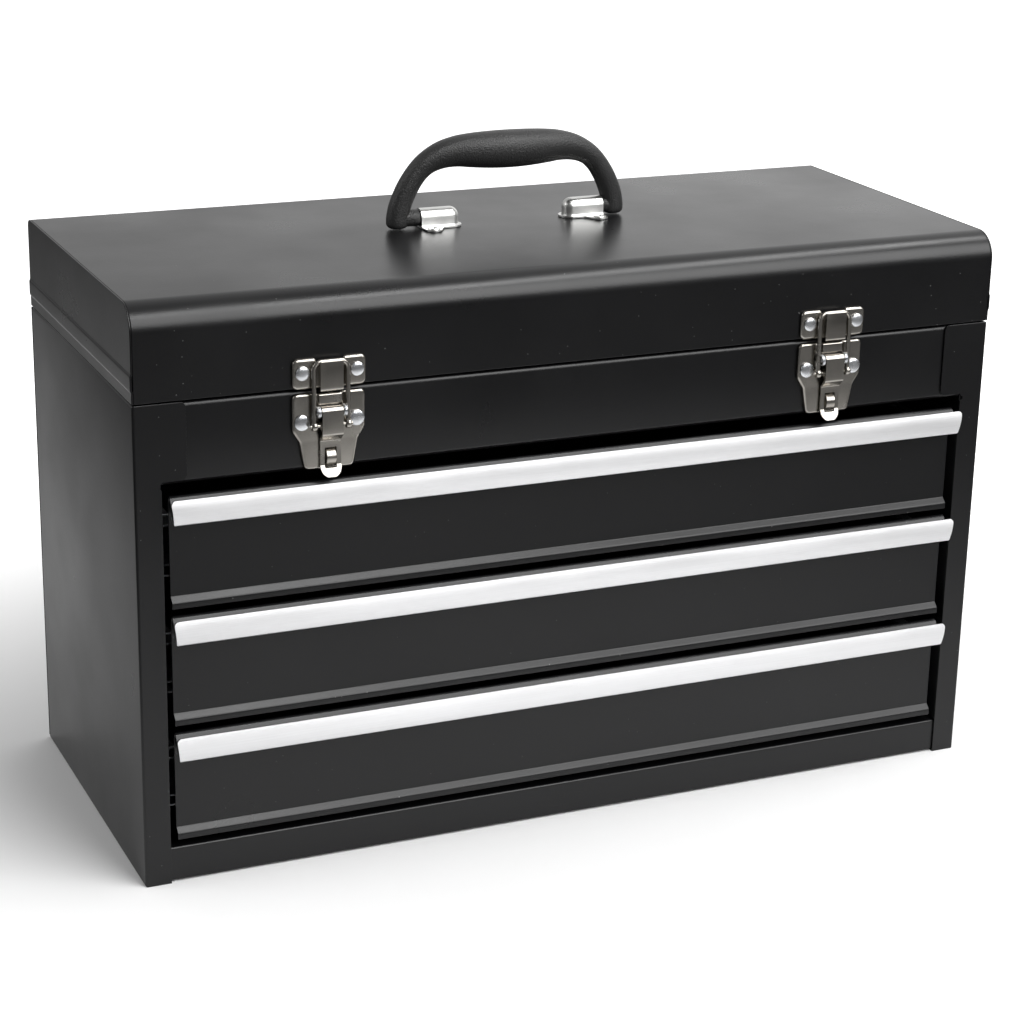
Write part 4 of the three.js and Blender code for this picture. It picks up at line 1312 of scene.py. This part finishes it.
# ---- Stage ----
def ranged(nodes, value, start, end, low, high, smooth=False):
    """A value carried from one range to another, held at both ends."""
    kind = "SMOOTHSTEP" if smooth else "LINEAR"
    node = nodes.make("ShaderNodeMapRange", {"interpolation_type": kind}, Value=value)
    for key, number in zip(("From_Min", "From_Max", "To_Min", "To_Max"), (start, end, low, high)):
        nodes.socket(node, key).default_value = number
    return node.outputs[0]


def build_floor():
    """A pale floor. In the box's gloss its colour falls off to dark, sooner in front than behind:
    painted shade for the lamps' falloff. Seen by the camera it is pale, with an emission rising
    away from the box: a painted glow that whitens the far floor.
    """
    size = 12.0
    data = bpy.data.meshes.new("floor")
    corners = [(-size, -size, 0), (size, -size, 0), (size, size, 0), (-size, size, 0)]
    data.from_pydata(corners, [], [(0, 1, 2, 3)])
    floor = bpy.data.objects.new("floor", data)
    bpy.context.scene.collection.objects.link(floor)
    material, nodes, shader = new_material("floor_paint", Roughness=0.9, IOR=1.2)
    place = nodes.make("ShaderNodeTexCoord").outputs["Object"]
    parts = nodes.make("ShaderNodeSeparateXYZ", Vector=place).outputs
    near = nodes.make("ShaderNodeMath", {"operation": "MULTIPLY"}, at_0=parts["Y"], at_1=0.35)
    depth = nodes.make("ShaderNodeMath", {"operation": "MINIMUM"}, at_0=parts["Y"],
                       at_1=near.outputs[0])
    drawn = nodes.make("ShaderNodeCombineXYZ", X=parts["X"], Y=depth.outputs[0])
    away = nodes.make("ShaderNodeVectorMath", {"operation": "LENGTH"}, at_0=drawn.outputs[0])
    seen = nodes.make("ShaderNodeLightPath").outputs["Is Camera Ray"]
    # Colour seen in reflections: painted shade, darker with distance from the box.
    painted_shade_falloff = ranged(nodes, away.outputs["Value"], 0.2, 0.95, 0.84, 0.1, True)
    pale = nodes.make("ShaderNodeMix", {"data_type": "FLOAT"}, at_0=seen, at_2=painted_shade_falloff, at_3=0.88)
    color = nodes.make("ShaderNodeCombineColor", at_0=pale.outputs[0], at_1=pale.outputs[0],
                       at_2=pale.outputs[0])
    nodes.link(color.outputs[0], shader, "Base_Color")
    plain = nodes.make("ShaderNodeVectorMath", {"operation": "LENGTH"}, at_0=place)
    # Emission for camera rays, rising away from the box: a painted glow, not a lamp.
    painted_glow_rise = ranged(nodes, plain.outputs["Value"], 0.22, 0.8, 0.0, 0.85, True)
    glow = nodes.make("ShaderNodeMath", {"operation": "MULTIPLY"}, at_0=painted_glow_rise, at_1=seen)
    shader.inputs["Emission Color"].default_value = (1, 1, 1, 1)
    nodes.link(glow.outputs[0], shader, "Emission_Strength")
    data.materials.append(material)


def build_world():
    """Dim in front, and behind the box pale, brighter to the right."""
    world = bpy.data.worlds.new("studio")
    world.use_nodes = True
    world.node_tree.nodes.clear()
    nodes = Nodes(world.node_tree)
    way = nodes.make("ShaderNodeTexCoord").outputs["Generated"]
    parts = nodes.make("ShaderNodeSeparateXYZ", Vector=way)
    behind = ranged(nodes, parts.outputs["X"], 0.05, 0.55, 0.45, 1.15)
    share = ranged(nodes, parts.outputs["Y"], -0.2, 0.4, 0.0, 1.0)
    strength = nodes.make("ShaderNodeMix", {"data_type": "FLOAT"}, at_0=share, at_2=0.14,
                          at_3=behind)
    seen = nodes.make("ShaderNodeLightPath").outputs["Is Camera Ray"]
    shown = nodes.make("ShaderNodeMix", {"data_type": "FLOAT"}, at_0=seen, at_2=strength.outputs[0],
                       at_3=1.0)
    sky = nodes.make("ShaderNodeBackground", Color=(1, 1, 1, 1))
    nodes.link(shown.outputs[0], sky, "Strength")
    out = nodes.make("ShaderNodeOutputWorld")
    nodes.link(sky.outputs[0], out, "Surface")
    bpy.context.scene.world = world


build_floor()
build_world()
area_light("front_softbox", (0.85, -1.5, 1.35), (0, 0, 0.25), (2.0, 1.2), 38)
area_light("strip_light", (0.6, -0.6, 1.75), (0.05, -0.1, 0.3), (1.9, 0.3), 19)
area_light("left_softbox", (-1.5, 0.2, 1.1), (0, 0, 0.15), (0.9, 0.7), 6)
bpy.context.scene.view_settings.view_transform = "Standard"
